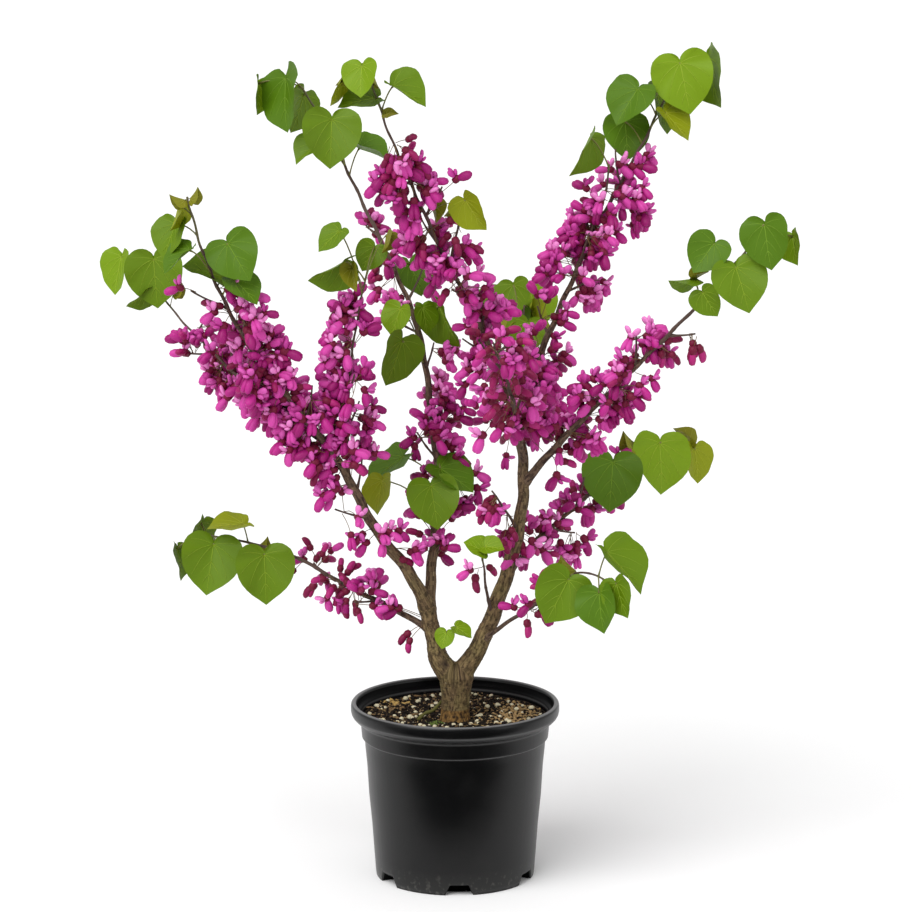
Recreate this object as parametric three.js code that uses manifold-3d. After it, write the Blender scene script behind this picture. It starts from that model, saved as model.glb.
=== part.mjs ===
// Young two-stemmed redbud in flower, standing in a round nursery pot.
// Millimetres, +Z up, -Y to the front. The origin is the centre of the pot's flat underside.
import * as THREE from 'three';
import { mergeVertices } from 'three/addons/utils/BufferGeometryUtils.js';
import Module from 'manifold-3d';

const wasm = await Module();
wasm.setup();

const gap = 0.35; // clear space between neighbouring pieces

// ---- driving dimensions -------------------------------------------------------------------

const pot = {
  height: 195.5,
  footRadius: 87.5,
  wallTopRadius: 99.7, // where the wall meets the collar
  collarBottom: 156,
  collarRadius: 102.8,
  collarFlare: 1.8,
  collarStep: 1, // height of the step from wall to collar
  lipBottom: 173,
  lipRadius: 115,
  lipRoll: 6, // from the lip's side in to its highest ring
  lipInside: 4, // from that ring down to the straight inner wall
  swell: [4, 3, 7, 12], // under the lip: first step out, then the heights of its three rings
  edge: 2.8, // rounding of the lip's outer edges
  crown: 0.3, // how far the highest ring stands over the rounded edge
  wall: 2.4,
  floor: 2.6,
  segments: 32,
  notches: 6, // drainage cut-outs round the foot
  notchWidth: 26,
  notchHeight: 10,
  notchDepth: 8,
  firstNotch: -87, // degrees round from +X
};

const soil = {
  level: 174, // round the trunk
  rise: 4.6, // from there up to the edge, in a hollow curve
  power: 1.5, // of that curve
  steps: 3,
  shoulder: 12, // from the trunk out to where the rise begins
  margin: 0.4, // clear space to the pot
};

const trunk = {
  radius: 15.8,
  flare: 1.9, // added at the soil line
  flareHeight: 7,
  shoulder: 3.6, // added where the two limbs part
  height: 60,
  closing: 5, // how quickly the top rounds off above the fork
  waistDepth: 0.78, // front-to-back over side-to-side, at the fork
  lean: 1.5,
  sides: 12,
  rings: 7,
};

const forkZ = 224; // where the two limbs spring from, inside the trunk

const flower = {
  spacing: 14, // between the clusters on a stem
  earliest: 0.2, // a cluster stands between these shares of its own stretch
  latest: 0.8,
  perCluster: 2,
  rootStep: 8, // between the roots of a cluster's blossoms
  sunk: 0.3, // of the stem's radius, from its axis to a blossom's root
  length: 34,
  lengthSpread: 6,
  spur: 7, // longest woody spur under a cluster
  width: 25,
  belly: 0.68, // where along its length a blossom is widest
  forward: 0.35, // how far a cluster leans along its stem
  turnSpread: 40, // degrees
  spread: 1,
  forwardSpread: 0.6,
  droop: 0.22,
};

const twig = {
  length: 36,
  lengthSpread: 8,
  foot: 1.5,
  tip: 0.9,
  stretch: 0.93, // of the flowering stretch, from its foot, that carries side twigs
  firstTurn: 60, // degrees round the stem, times the stem's number
  forward: 0.8, // how far it leans along its stem, over how far it stands out
  lift: 14, // degrees that it turns up by its tip
  bloom: [0.45, 1],
};

const leaf = {
  thickness: 0.022, // of the blade's width, at its middle
  fold: 0.16, // how far the blade's halves rise from its midrib, over its width
  nod: 18, // degrees that the tip swings forward
  leastNod: 0.4, // of that, for the leaf that nods least
  swingSpread: 20,
  petioleRadius: 1.1,
  youngest: 31, // a narrower leaf is still folded, with no heart shape
  foldedBelly: 0.6,
  foldedWidth: 0.3, // of a folded leaf's full width
  foldedDepth: 0.15,
};

// First and next starting number for each run of draws.
const seeds = { twig: [311, 53], flower: [997, 131], leaf: 577, ownTwigs: 40 };

// Half of a heart-shaped blade, from the notch round to the tip: across and along, over the width.
const heart = [
  [0, 0],
  [0.26, -0.17],
  [0.51, 0.09],
  [0.45, 0.46],
  [0.16, 0.75],
  [0, 0.87],
];
const bladeMiddle = 0.34;

// Every limb is a path of one length that turns evenly between the directions in rise and heading:
// degrees above level, and degrees round from +X. It starts on another limb, at a share of that
// limb's length. foot and tip are radii. A mass of blossom and leaves takes over from the bare bough
// at the share "enters". bloom is the stretch that flowers, and twigs is how many side twigs it has.
// Each leaf is [share of the limb, bearing, petiole, hang, width, swing, lean]: the petiole's angle in
// the front plane and its length, the angle of the blade's tip, the blade's width, how far the blade
// turns its face away from the front, and how far the petiole leans to the front.
const limbs = {
  left_limb: {
    startX: -1.5, length: 79, foot: 12, tip: 9, steps: 4,
    rise: [35, 80, 75], heading: [176, 156, 149],
  },
  right_limb: {
    startX: 4.5, length: 292, foot: 10.8, tip: 5.6, steps: 12,
    rise: [53, 70, 74, 86, 103], heading: [-3, -4, -7, -17, 34],
  },
  left_bough: {
    on: 'left_limb', at: 1, length: 555, foot: 7.8, tip: 1.1,
    rise: [69, 50, 64, 52, 51, 60, 66, 74], heading: [-147, -160, -150, -158, -158, -153, -143, -126],
    mass: 'left_spray', enters: 0.14, bloom: [0.14, 0.83], twigs: 9,
    leaves: [
      [0.85, 54, 35, -57, 54, 0, 15],
      [0.79, 54, 29, -42, 42, 60, 35],
      [0.83, 125, 45, -139, 42, 70, 30],
      [0.81, 30, 24, 160, 56, 65, -65],
      [0.92, 157, 30, -108, 46, 45, -30],
      [0.96, 145, 19, -109, 32, 65, -20],
      [1, -172, 3, 158, 20, 65, 0],
      [1, 23, 3, 53, 19, 65, 0],
    ],
  },
  left_side: {
    on: 'left_bough', at: 0.5, length: 268, foot: 2.8, tip: 1,
    rise: [12, 15, 27, 25, 35], heading: [135, 135, 129, 131, 124],
    mass: 'left_spray', enters: 0, bloom: [0.12, 0.8], twigs: 4,
    leaves: [
      [0.98, 101, 49, -85, 63, 0, 20],
      [0.98, 136, 65, -100, 50, 50, -5],
      [0.98, 148, 20, -144, 36, 65, 30],
      [0.92, 74, 17, 56, 19, 60, 15],
    ],
  },
  left_twig: {
    on: 'left_bough', at: 0.33, length: 232, foot: 2.4, tip: 0.9,
    rise: [80, 80, 77, 74], heading: [-107, -77, -50, -38],
    mass: 'left_spray', enters: 0, bloom: [0.1, 0.8], twigs: 3,
    leaves: [
      [0.92, 109, 73, -136, 36, 45, 10],
      [0.98, 132, 33, -152, 52, 60, 20],
      [0.94, 113, 36, -79, 30, 10, 40],
      [1, 74, 40, -118, 33, 5, -35],
      [1, 64, 54, -102, 24, 45, -20],
    ],
  },
  centre_bough: {
    on: 'left_limb', at: 1, length: 626, foot: 6.4, tip: 1.1,
    rise: [76, 73, 71, 71, 60, 57, 59, 48], heading: [76, 67, 110, 114, 142, 143, 142, 151],
    mass: 'centre_spray', enters: 0.14, bloom: [0.14, 0.76], twigs: 8,
    leaves: [
      [0.83, 104, 62, -92, 64, 0, 25],
      [1, 148, 23, -89, 72, 50, 20],
      [1, 175, 51, -92, 42, 65, -10],
      [0.98, -148, 16, -109, 52, 50, -75],
      [0.83, 140, 39, -140, 41, 65, -10],
      [0.81, 70, 35, -19, 43, 65, 15],
      [0.46, 115, 60, -109, 38, 35, 15],
      [0.44, 129, 48, -110, 60, 40, 35],
      [0.5, 81, 37, -80, 35, 40, 35],
      [0.5, 53, 39, -64, 58, 60, 15],
      [0.21, 121, 30, -80, 56, 0, 60],
      [0.17, 145, 74, -99, 44, 45, 10],
      [0.23, 146, 47, -144, 60, 65, -10],
      [0.27, -68, 16, -33, 54, 65, 60],
      [0.62, 10, 34, -70, 46, 20, -60],
    ],
  },
  inner_bough: {
    on: 'right_limb', at: 0.96, length: 474, foot: 4.2, tip: 1,
    rise: [69, 62, 57, 59, 60, 65], heading: [-124, -132, -142, -136, -134, -121],
    mass: 'inner_spray', enters: 0, bloom: [0.06, 0.78], twigs: 7,
    leaves: [
      [1, 134, 18, -92, 38, 20, 50],
      [0.98, 151, 27, -122, 28, 55, -15],
      [0.98, 92, 17, -71, 29, 40, -45],
      [0.96, 162, 32, -114, 38, 75, 0],
      [0.88, 113, 25, -170, 45, 70, 20],
      [0.9, 65, 29, -32, 46, 65, 10],
      [0.88, 27, 6, 21, 16, 65, 55],
      [0.62, 69, 20, -75, 26, 50, -50],
      [0.62, 24, 34, -124, 20, 50, -25],
    ],
  },
  short_twig: {
    on: 'inner_bough', at: 0.48, length: 79, foot: 1.8, tip: 0.9,
    rise: [62, 61, 61], heading: [-72, -68, -71],
    mass: 'inner_spray', enters: 0, bloom: [0.2, 0.7],
    leaves: [[1, 66, 12, -57, 44, 30, 30]],
  },
  right_upper_bough: {
    on: 'right_limb', at: 1, length: 410, foot: 4.9, tip: 1.2,
    rise: [72, 60, 60, 59, 55, 55, 60], heading: [67, 39, 38, 39, 32, 34, 38],
    mass: 'right_upper_spray', enters: 0.2, bloom: [0.15, 0.8], twigs: 6,
    leaves: [
      [1, 69, 45, -79, 66, 0, 20],
      [1, 41, 64, -79, 66, 65, -10],
      [0.94, 126, 37, -124, 54, 40, 15],
      [0.94, 87, 27, -75, 56, 55, -35],
      [0.9, 48, 26, -50, 46, 55, 25],
      [0.85, 129, 35, -86, 51, 0, -35],
    ],
  },
  right_upper_twig: {
    on: 'right_upper_bough', at: 0.5, length: 106, foot: 2.2, tip: 1,
    rise: [73, 66, 90], heading: [10, 7, 25],
    mass: 'right_upper_spray', enters: 0, bloom: [0.2, 0.95],
    leaves: [[0.98, 123, 40, -118, 56, 60, 10]],
  },
  right_bough: {
    on: 'right_limb', at: 0.79, length: 396, foot: 4.7, tip: 1.2,
    rise: [50, 45, 44, 45, 51], heading: [-32, -30, -30, -32, -36],
    mass: 'right_spray', enters: 0.2, bloom: [0.15, 0.66], twigs: 4,
    leaves: [
      [0.85, 51, 32, -73, 57, 0, 45],
      [0.83, 94, 47, -127, 44, 20, 10],
      [0.81, 170, 19, -58, 34, 25, 60],
      [1, 58, 26, -81, 55, 30, 20],
      [1, 8, 45, -82, 36, 60, -10],
      [0.77, 108, 27, 180, 34, 65, 15],
      [0.77, 105, 26, 30, 20, 65, 10],
    ],
  },
  right_low_bough: {
    on: 'right_limb', at: 0.4, length: 307, foot: 4.1, tip: 1.1,
    rise: [41, 27, 26, 21, 11], heading: [56, 42, 42, 39, 35],
    mass: 'right_low_spray', enters: 0.2, bloom: [0.15, 0.66], twigs: 3,
    leaves: [
      [0.65, 94, 32, -95, 66, 0, 50],
      [0.96, 177, 26, -88, 68, 10, 50],
      [0.77, 88, 18, 135, 30, 65, -25],
      [1, -51, 16, 126, 30, 70, -40],
      [1, -38, 24, -85, 46, 50, -20],
    ],
  },
  right_basal_twig: {
    on: 'right_limb', at: 0.15, length: 240, foot: 2.9, tip: 1,
    rise: [39, 31, 41, -35], heading: [-49, -44, -53, -37],
    mass: 'right_basal_spray', enters: 0, bloom: [0.1, 0.5],
    leaves: [
      [0.75, -155, 17, -118, 60, 0, 65],
      [0.9, -88, 18, -84, 50, 35, 25],
      [0.98, 35, 12, -74, 44, 40, 55],
      [0.9, 68, 28, -47, 66, 70, -25],
      [0.75, 46, 6, 134, 28, 70, -60],
    ],
  },
  left_basal_twig: {
    on: 'left_limb', at: 0.7, length: 294, foot: 3.9, tip: 1.1,
    rise: [30, 19, 27, 9, 4], heading: [158, 159, 159, 161, 162],
    mass: 'left_basal_spray', enters: 0, bloom: [0.1, 0.64], twigs: 2,
    leaves: [
      [0.73, -122, 20, -87, 64, 0, 75],
      [0.94, -105, 20, -98, 66, 10, 75],
      [1, 115, 17, -114, 52, 65, -45],
      [1, -153, 35, -79, 42, 65, 5],
      [0.81, 104, 23, -177, 48, 75, 10],
      [0.79, -74, 13, 43, 26, 65, -50],
    ],
  },
  front_bough: {
    on: 'right_limb', at: 0.875, length: 285, foot: 3.6, tip: 1,
    rise: [38, 37, 35, 34], heading: [-95, -97, -101, -103],
    mass: 'front_spray', enters: 0.2, bloom: [0.15, 1], twigs: 5,
  },
  back_bough: {
    on: 'right_limb', at: 0.66, length: 325, foot: 3.8, tip: 1.1,
    rise: [39, 40, 42, 43], heading: [84, 90, 91, 90],
    mass: 'back_spray', enters: 0.2, bloom: [0.15, 0.88], twigs: 5,
    leaves: [
      [0.88, 100, 40, -80, 40, 10, -20],
      [0.85, 32, 19, -101, 44, 15, 60],
      [0.88, 165, 17, -149, 30, 55, 35],
      [1, 10, 25, -80, 58, 30, -60],
      [1, 190, 30, -105, 52, 200, -50],
      [0.94, -30, 22, -75, 60, 90, -40],
      [0.97, 240, 26, -90, 54, 120, -30],
    ],
  },
  small_twig: {
    on: 'right_limb', at: 0.27, length: 92, foot: 2.3, tip: 1,
    rise: [51, 57, 54], heading: [-117, -98, -101],
    mass: 'small_spray', enters: 0, bloom: [0.45, 0.8],
    leaves: [
      [0.96, 86, 13, 154, 28, 40, 25],
      [1, 79, 17, -3, 25, 45, 15],
    ],
  },
  dark_twig: {
    on: 'right_limb', at: 0.61, length: 70, foot: 1.9, tip: 1,
    rise: [50, 46], heading: [-127, -132],
    mass: 'dark_spray', enters: 0, bloom: [0.4, 1],
  },
  crotch_twig: {
    on: 'left_limb', at: 0.42, length: 34, foot: 1.2, tip: 0.9, steps: 2,
    rise: [35, 70], heading: [-55, -40],
    mass: 'crotch_spray', enters: 0,
    leaves: [
      [1, 130, 3, -105, 22, 15, 10],
      [1, 40, 12, -30, 24, 55, 0],
    ],
  },
};

// ---- paths --------------------------------------------------------------------------------

const front = new THREE.Vector3(0, -1, 0);
const stepLength = 44; // a limb is straight from step to step
const goldenAngle = 137.5;
const sunk = 3; // the last root on a limb is this far short of its tip
const overlap = 0.02; // share of a limb by which its bloom starts after its spray does
const taperPower = 1.4;
const rad = THREE.MathUtils.degToRad;

function draws(seed) {
  let state = seed;
  return () => {
    state = (state * 1664525 + 1013904223) % 4294967296;
    return state / 4294967296;
  };
}

function blend(values, share) {
  const place = share * (values.length - 1);
  const k = Math.min(Math.floor(place), values.length - 2);
  return values[k] + (values[k + 1] - values[k]) * (place - k);
}

function heading(bearing, rise) {
  const level = Math.cos(rad(rise));
  return new THREE.Vector3(
    level * Math.cos(rad(bearing)),
    level * Math.sin(rad(bearing)),
    Math.sin(rad(rise)),
  );
}

// The limb's points, one at each step of its length.
function grow(limb) {
  limb.steps ??= Math.ceil(limb.length / stepLength);
  const start = limb.on
    ? along(limbs[limb.on] ?? limb.on, limb.at).point
    : new THREE.Vector3(limb.startX, 0, forkZ);
  const points = [start.clone()];
  for (let k = 0; k < limb.steps; k += 1) {
    const share = (k + 0.5) / limb.steps;
    const step = heading(blend(limb.heading, share), blend(limb.rise, share));
    points.push(points[k].clone().addScaledVector(step, limb.length / limb.steps));
  }
  limb.points = points;
}

// Point, directions and radius at a share of the limb's length.
function along(limb, anyShare) {
  const share = THREE.MathUtils.clamp(anyShare, 0, 1);
  const place = share * limb.steps;
  const k = Math.min(Math.floor(place), limb.steps - 1);
  const point = limb.points[k].clone().lerp(limb.points[k + 1], place - k);
  const forward = heading(blend(limb.heading, share), blend(limb.rise, share));
  const side = new THREE.Vector3().crossVectors(forward, front).normalize();
  const third = new THREE.Vector3().crossVectors(side, forward);
  const radius = limb.tip + (limb.foot - limb.tip) * (1 - share) ** taperPower;
  return { point, forward, side, third, radius };
}

// Side twigs at even spacing on the flowering stretch, each a golden angle round from the last.
function twigsOf(limb) {
  const list = [];
  for (let k = 0; k < (limb.twigs ?? 0); k += 1) {
    const next = draws(limb.seed * seeds.twig[0] + k * seeds.twig[1]);
    next();
    const [from, to] = limb.bloom;
    const place = (k + 0.5 + 0.5 * next()) / limb.twigs;
    const share = from + place * (to - from) * twig.stretch;
    const { forward, side, third } = along(limb, share);
    const turn = rad(k * goldenAngle + limb.seed * twig.firstTurn);
    const out = side.clone().multiplyScalar(Math.cos(turn))
      .addScaledVector(third, Math.sin(turn))
      .addScaledVector(forward, twig.forward)
      .normalize();
    const rise = THREE.MathUtils.radToDeg(Math.asin(out.z));
    const bearing = THREE.MathUtils.radToDeg(Math.atan2(out.y, out.x));
    const sprig = {
      on: limb, at: share, length: twig.length + twig.lengthSpread * (2 * next() - 1),
      foot: twig.foot, tip: twig.tip, bloom: twig.bloom,
      rise: [rise, rise + twig.lift], heading: [bearing, bearing],
      node: limb.node, seed: limb.seed * seeds.ownTwigs + k + 1,
    };
    grow(sprig);
    list.push(sprig);
  }
  return list;
}

Object.entries(limbs).forEach(([name, limb], index) => {
  limb.name = name;
  limb.seed = index + 1;
  grow(limb);
  limb.enters = Math.round((limb.mass ? limb.enters : 1) * limb.steps) / limb.steps;
  limb.node = limb.mass;
  if (limb.bloom) {
    limb.bloom[0] = Math.max(limb.bloom[0], limb.enters + overlap);
  }
});

// ---- closed pieces ------------------------------------------------------------------------

function toSolid(geometry) {
  geometry.deleteAttribute('normal');
  geometry.deleteAttribute('uv');
  const merged = mergeVertices(geometry, 1e-5);
  return new wasm.Manifold(new wasm.Mesh({
    numProp: 3,
    vertProperties: merged.getAttribute('position').array,
    triVerts: merged.getIndex().array,
  }));
}

// Moves every vertex of a closed geometry to the place that the function gives for it.
function reshape(geometry, place) {
  const position = geometry.getAttribute('position');
  const vertex = new THREE.Vector3();
  for (let k = 0; k < position.count; k += 1) {
    vertex.fromBufferAttribute(position, k);
    const moved = place(vertex);
    position.setXYZ(k, moved.x, moved.y, moved.z);
  }
  return toSolid(geometry);
}

// A cylinder carried along a stretch of a limb. grown widens it all over, to cut its neighbours clear.
function tube(limb, from, to, grown = 0) {
  const sides = [10, 6, 5, 4, 3].find((_, k) => limb.foot > [9, 4, 3, twig.foot, 0][k]);
  const rings = Math.round((to - from) * limb.steps);
  const end = Math.min(1, to) + grown / limb.length;
  return reshape(new THREE.CylinderGeometry(1, 1, 1, sides, rings), (v) => {
    const share = from + (end - from) * (v.y + 0.5);
    const { point, forward, side, third, radius } = along(limb, share);
    const wide = radius + grown;
    return point
      .addScaledVector(side, v.x * wide)
      .addScaledVector(third, v.z * wide)
      .addScaledVector(forward, Math.max(0, share - 1) * limb.length);
  });
}

// A spindle that runs out from its root and is widest at the share "belly" of its length.
function spindleSolid(root, direction, length, sides, belly, width, depth) {
  const side = new THREE.Vector3().crossVectors(direction, front).normalize();
  const third = new THREE.Vector3().crossVectors(side, direction);
  return reshape(new THREE.SphereGeometry(1, sides, 2), (v) => {
    const share = v.y < 0 ? (1 + v.y) * belly : belly + v.y * (1 - belly);
    return root.clone()
      .addScaledVector(direction, share * length)
      .addScaledVector(side, (v.x * width) / 2)
      .addScaledVector(third, (v.z * depth) / 2);
  });
}

// A heart-shaped blade: a flat ring of outline points closed over by a point on each face.
function bladeSolid(junction, tipward, face, width) {
  const across = new THREE.Vector3().crossVectors(face, tipward);
  const ring = 2 * (heart.length - 1);
  const quarterTurn = Math.PI / 2;
  return reshape(new THREE.SphereGeometry(1, ring, 2, -quarterTurn), (v) => {
    const turn = Math.atan2(v.z, -v.x) + quarterTurn;
    const k = (Math.round((turn / (2 * Math.PI)) * ring) + ring) % ring;
    const half = heart[Math.min(k, ring - k)];
    const pole = Math.abs(v.y) > 0.5;
    const x = pole ? 0 : Math.sign(k - ring / 2) * half[0];
    const y = pole ? bladeMiddle : half[1];
    const lift = pole ? (Math.sign(v.y) * leaf.thickness) / 2 : leaf.fold * Math.abs(x);
    return junction.clone()
      .addScaledVector(across, x * width)
      .addScaledVector(tipward, y * width)
      .addScaledVector(face, lift * width);
  });
}

// A thin three-sided stalk that comes to a point.
function stalkSolid(from, to, radius) {
  const direction = to.clone().sub(from);
  const length = direction.length();
  direction.normalize();
  const side = new THREE.Vector3().crossVectors(direction, front).normalize();
  const third = new THREE.Vector3().crossVectors(side, direction);
  return reshape(new THREE.ConeGeometry(1, 1, 3, 1), (v) => from.clone()
    .addScaledVector(direction, (v.y + 0.5) * length)
    .addScaledVector(side, v.x * radius)
    .addScaledVector(third, v.z * radius));
}

// ---- what grows on a limb -----------------------------------------------------------------

// Blossoms in clusters at even spacing, each cluster a golden angle round from the last.
function blossomsOf(limb) {
  const list = [];
  if (!limb.bloom) {
    return list;
  }
  const [from, to] = limb.bloom;
  const clusters = Math.floor(((to - from) * limb.length) / flower.spacing);
  for (let k = 0; k < clusters; k += 1) {
    const next = draws(limb.seed * seeds.flower[0] + k * seeds.flower[1]);
    next();
    const place = k + flower.earliest + (flower.latest - flower.earliest) * next();
    const share = from + (place / clusters) * (to - from);
    const { forward, side, third } = along(limb, share);
    const turn = rad(k * goldenAngle + flower.turnSpread * next());
    const spur = flower.spur * next() ** 2;
    const out = side.clone().multiplyScalar(Math.cos(turn))
      .addScaledVector(third, Math.sin(turn))
      .addScaledVector(forward, flower.forward)
      .normalize();
    for (let j = 0; j < flower.perCluster; j += 1) {
      const direction = out.clone()
        .addScaledVector(side, flower.spread * (2 * next() - 1))
        .addScaledVector(third, flower.spread * (2 * next() - 1))
        .addScaledVector(forward, flower.forwardSpread * (2 * next() - 1));
      direction.z -= flower.droop;
      direction.normalize();
      const shift = ((j - (flower.perCluster - 1) / 2) * flower.rootStep) / limb.length;
      const { point, radius } = along(limb, Math.min(share + shift, 1 - sunk / limb.length));
      const root = point.addScaledVector(direction, radius * flower.sunk);
      const length = spur + radius + flower.length + flower.lengthSpread * (2 * next() - 1);
      const { belly, width } = flower;
      list.push(spindleSolid(root, direction, length, 3, belly, width, width));
    }
  }
  return list;
}

function leavesOf(limb) {
  const next = draws(limb.seed * seeds.leaf);
  return (limb.leaves ?? []).map(([share, bearing, petiole, hang, width, swing, lean]) => {
    const root = along(limb, Math.min(share, 1 - sunk / limb.length)).point;
    const reach = new THREE.Vector3(
      Math.cos(rad(bearing)) * Math.cos(rad(lean)),
      -Math.sin(rad(lean)),
      Math.sin(rad(bearing)) * Math.cos(rad(lean)),
    );
    const nod = rad(leaf.nod * (leaf.leastNod + next()));
    const tipward = new THREE.Vector3(
      Math.cos(rad(hang)) * Math.cos(nod),
      -Math.sin(nod),
      Math.sin(rad(hang)) * Math.cos(nod),
    );
    const turned = swing + leaf.swingSpread * (next() - 0.5);
    const face = front.clone().addScaledVector(tipward, -front.dot(tipward)).normalize();
    face.applyAxisAngle(tipward, rad(next() < 0.5 ? turned : -turned));
    const junction = root.clone().addScaledVector(reach, petiole);
    if (width < leaf.youngest) {
      const out = junction.clone().addScaledVector(tipward, width).sub(root);
      const length = out.length();
      const wide = leaf.foldedWidth * width;
      const deep = leaf.foldedDepth * width;
      return spindleSolid(root, out.normalize(), length, 4, leaf.foldedBelly, wide, deep);
    }
    const inBlade = junction.clone().addScaledVector(tipward, bladeMiddle * width);
    const stalk = stalkSolid(root, inBlade, leaf.petioleRadius);
    return bladeSolid(junction, tipward, face, width).add(stalk);
  });
}

// ---- nodes --------------------------------------------------------------------------------

const nodes = new Map(); // name -> the closed pieces that are joined into it
const taken = []; // every piece placed so far, with its node and kind

function touches(a, b) {
  return [0, 1, 2].every((k) => a.min[k] < b.max[k] && b.min[k] < a.max[k]);
}

function keep(name, kind, solid) {
  nodes.set(name, [...(nodes.get(name) ?? []), solid]);
  taken.push({ name, kind, solid, box: solid.boundingBox() });
}

// Keeps a twig, leaf or blossom only if it stays clear of every other node. A blossom stays clear of
// its own node's blossoms too. Says whether it was kept.
function keepClear(name, kind, solid) {
  const box = solid.boundingBox();
  const minds = (other) => other.name !== name || (kind === 'blossom' && other.kind === kind);
  const meets = taken.some((other) => minds(other)
    && touches(box, other.box)
    && solid.intersect(other.clearing ?? other.solid).volume() > 0);
  if (!meets) {
    keep(name, kind, solid);
  }
  return !meets;
}

// The largest closed body of a solid, without the scraps and sealed hollows that cutting leaves.
function mainBody(solid) {
  return solid.decompose().reduce((best, body) => (body.volume() > best.volume() ? body : best));
}

// Wood is laid down limb by limb. Each stretch is cut clear of the ones laid before it.
function layWood(name, limb, from, to) {
  let solid = tube(limb, from, to);
  const box = solid.boundingBox();
  for (const other of taken) {
    if (other.name !== name && other.clearing && touches(box, other.box)) {
      solid = solid.subtract(other.clearing);
    }
  }
  keep(name, 'wood', mainBody(solid));
  taken.at(-1).clearing = tube(limb, from, to, gap);
}

function trunkSolid() {
  const radiusAt = (height) => {
    const up = height / (forkZ - soil.level);
    const flare = trunk.flare * Math.exp(-height / trunk.flareHeight);
    const shoulder = trunk.shoulder * Math.min(up, 1) ** 3;
    const closing = Math.max(0, up - 1) * trunk.closing;
    return trunk.radius + flare + shoulder - trunk.radius * closing ** 2;
  };
  return (grown) => reshape(
    new THREE.CylinderGeometry(1, 1, 1, trunk.sides, trunk.rings).rotateX(Math.PI / 2),
    (v) => {
      const height = (v.z + 0.5) * (trunk.height + grown);
      const radius = radiusAt(Math.min(height, trunk.height)) + grown;
      const up = height / trunk.height;
      return new THREE.Vector3(
        v.x * radius + trunk.lean * up,
        v.y * radius * (1 - (1 - trunk.waistDepth) * up),
        soil.level + gap + height,
      );
    },
  );
}

function layTrunk() {
  const stem = trunkSolid();
  const parts = [];
  const clearings = [];
  for (const limb of [limbs.left_limb, limbs.right_limb]) {
    limb.bareFrom = 1 / limb.steps; // the first step belongs to the trunk
    parts.push(tube(limb, 0, limb.bareFrom));
    clearings.push(tube(limb, 0, limb.bareFrom, gap));
  }
  keep('trunk', 'wood', wasm.Manifold.union([stem(0), ...parts]));
  taken.at(-1).clearing = wasm.Manifold.union([stem(gap), ...clearings]);
}

layTrunk();
for (const limb of Object.values(limbs)) {
  const from = limb.bareFrom ?? 0;
  if (limb.enters > 0) {
    layWood(limb.name, limb, from, limb.enters);
  }
  if (limb.enters < 1) {
    layWood(limb.mass, limb, limb.enters, 1);
  }
}

for (const limb of Object.values(limbs)) {
  leavesOf(limb).forEach((solid) => keepClear(limb.node, 'leaf', solid));
}
const flowering = Object.values(limbs);
for (const limb of Object.values(limbs)) {
  for (const sprig of twigsOf(limb)) {
    if (keepClear(sprig.node, 'twig', tube(sprig, 0, 1))) {
      flowering.push(sprig);
    }
  }
}
for (const limb of flowering) {
  blossomsOf(limb).forEach((solid) => keepClear(limb.node, 'blossom', solid));
}

// ---- pot and soil -------------------------------------------------------------------------

function lathe(profile) {
  const points = profile.map(([radius, height]) => new THREE.Vector2(radius, height));
  return toSolid(new THREE.LatheGeometry(points, pot.segments).rotateX(Math.PI / 2));
}

function wallRadius(height) {
  return pot.footRadius + ((pot.wallTopRadius - pot.footRadius) * height) / pot.collarBottom;
}

function potSolid() {
  const { height, lipBottom, lipRadius, wall, collarBottom, collarStep } = pot;
  const neck = pot.collarRadius + pot.collarFlare;
  const { swell, edge } = pot;
  const shell = lathe([
    [0, 0],
    [pot.footRadius, 0],
    [pot.wallTopRadius, collarBottom],
    [pot.collarRadius, collarBottom + collarStep],
    [neck, lipBottom],
    [neck + swell[0], lipBottom + swell[1]],
    [lipRadius - edge, lipBottom + swell[2]],
    [lipRadius, lipBottom + swell[3]],
    [lipRadius, height - edge],
    [lipRadius - edge, height - pot.crown],
    [lipRadius - pot.lipRoll, height],
    [neck, height - pot.lipInside],
    [neck - wall, lipBottom],
    [wallRadius(collarBottom) - wall, collarBottom - collarStep],
    [wallRadius(pot.floor) - wall, pot.floor],
    [0, pot.floor],
  ]);
  const cutters = [];
  for (let k = 0; k < pot.notches; k += 1) {
    const box = new THREE.BoxGeometry(2 * pot.notchDepth, pot.notchWidth, 2 * pot.notchHeight);
    box.translate(pot.footRadius, 0, 0);
    box.rotateZ(rad(pot.firstNotch + (k * 360) / pot.notches));
    cutters.push(toSolid(box));
  }
  return shell.subtract(wasm.Manifold.union(cutters));
}

function soilSolid() {
  const { level, margin } = soil;
  const inside = pot.wall + margin;
  const edge = pot.collarRadius + pot.collarFlare - inside;
  const foot = pot.floor + margin;
  const notchTop = pot.notchHeight + margin;
  const notchBack = pot.footRadius - pot.notchDepth - 2 * margin;
  const step = pot.collarBottom - pot.collarStep - margin;
  const start = trunk.radius + soil.shoulder;
  const top = [];
  for (let k = soil.steps; k >= 0; k -= 1) {
    const share = k / soil.steps;
    top.push([start + share * (edge - start), level + soil.rise * share ** soil.power]);
  }
  return lathe([
    [0, foot],
    [notchBack, foot],
    [notchBack, notchTop],
    [wallRadius(notchTop) - inside, notchTop],
    [wallRadius(step) - inside, step],
    [edge, pot.lipBottom - margin],
    ...top,
    [0, level],
  ]);
}

keep('pot', 'pot', potSolid());
keep('soil', 'soil', soilSolid());

// ---- scene --------------------------------------------------------------------------------

const finishes = {
  pot: { color: 0x232325, roughness: 0.45 },
  soil: { color: 0x3b2a1c, roughness: 0.95 },
  bark: { color: 0x6b5b4b, roughness: 0.85 },
  spray: { color: 0xb03a90, roughness: 0.7 },
};

function finishOf(name) {
  if (name in finishes) {
    return finishes[name];
  }
  return name.endsWith('_spray') ? finishes.spray : finishes.bark;
}

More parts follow.
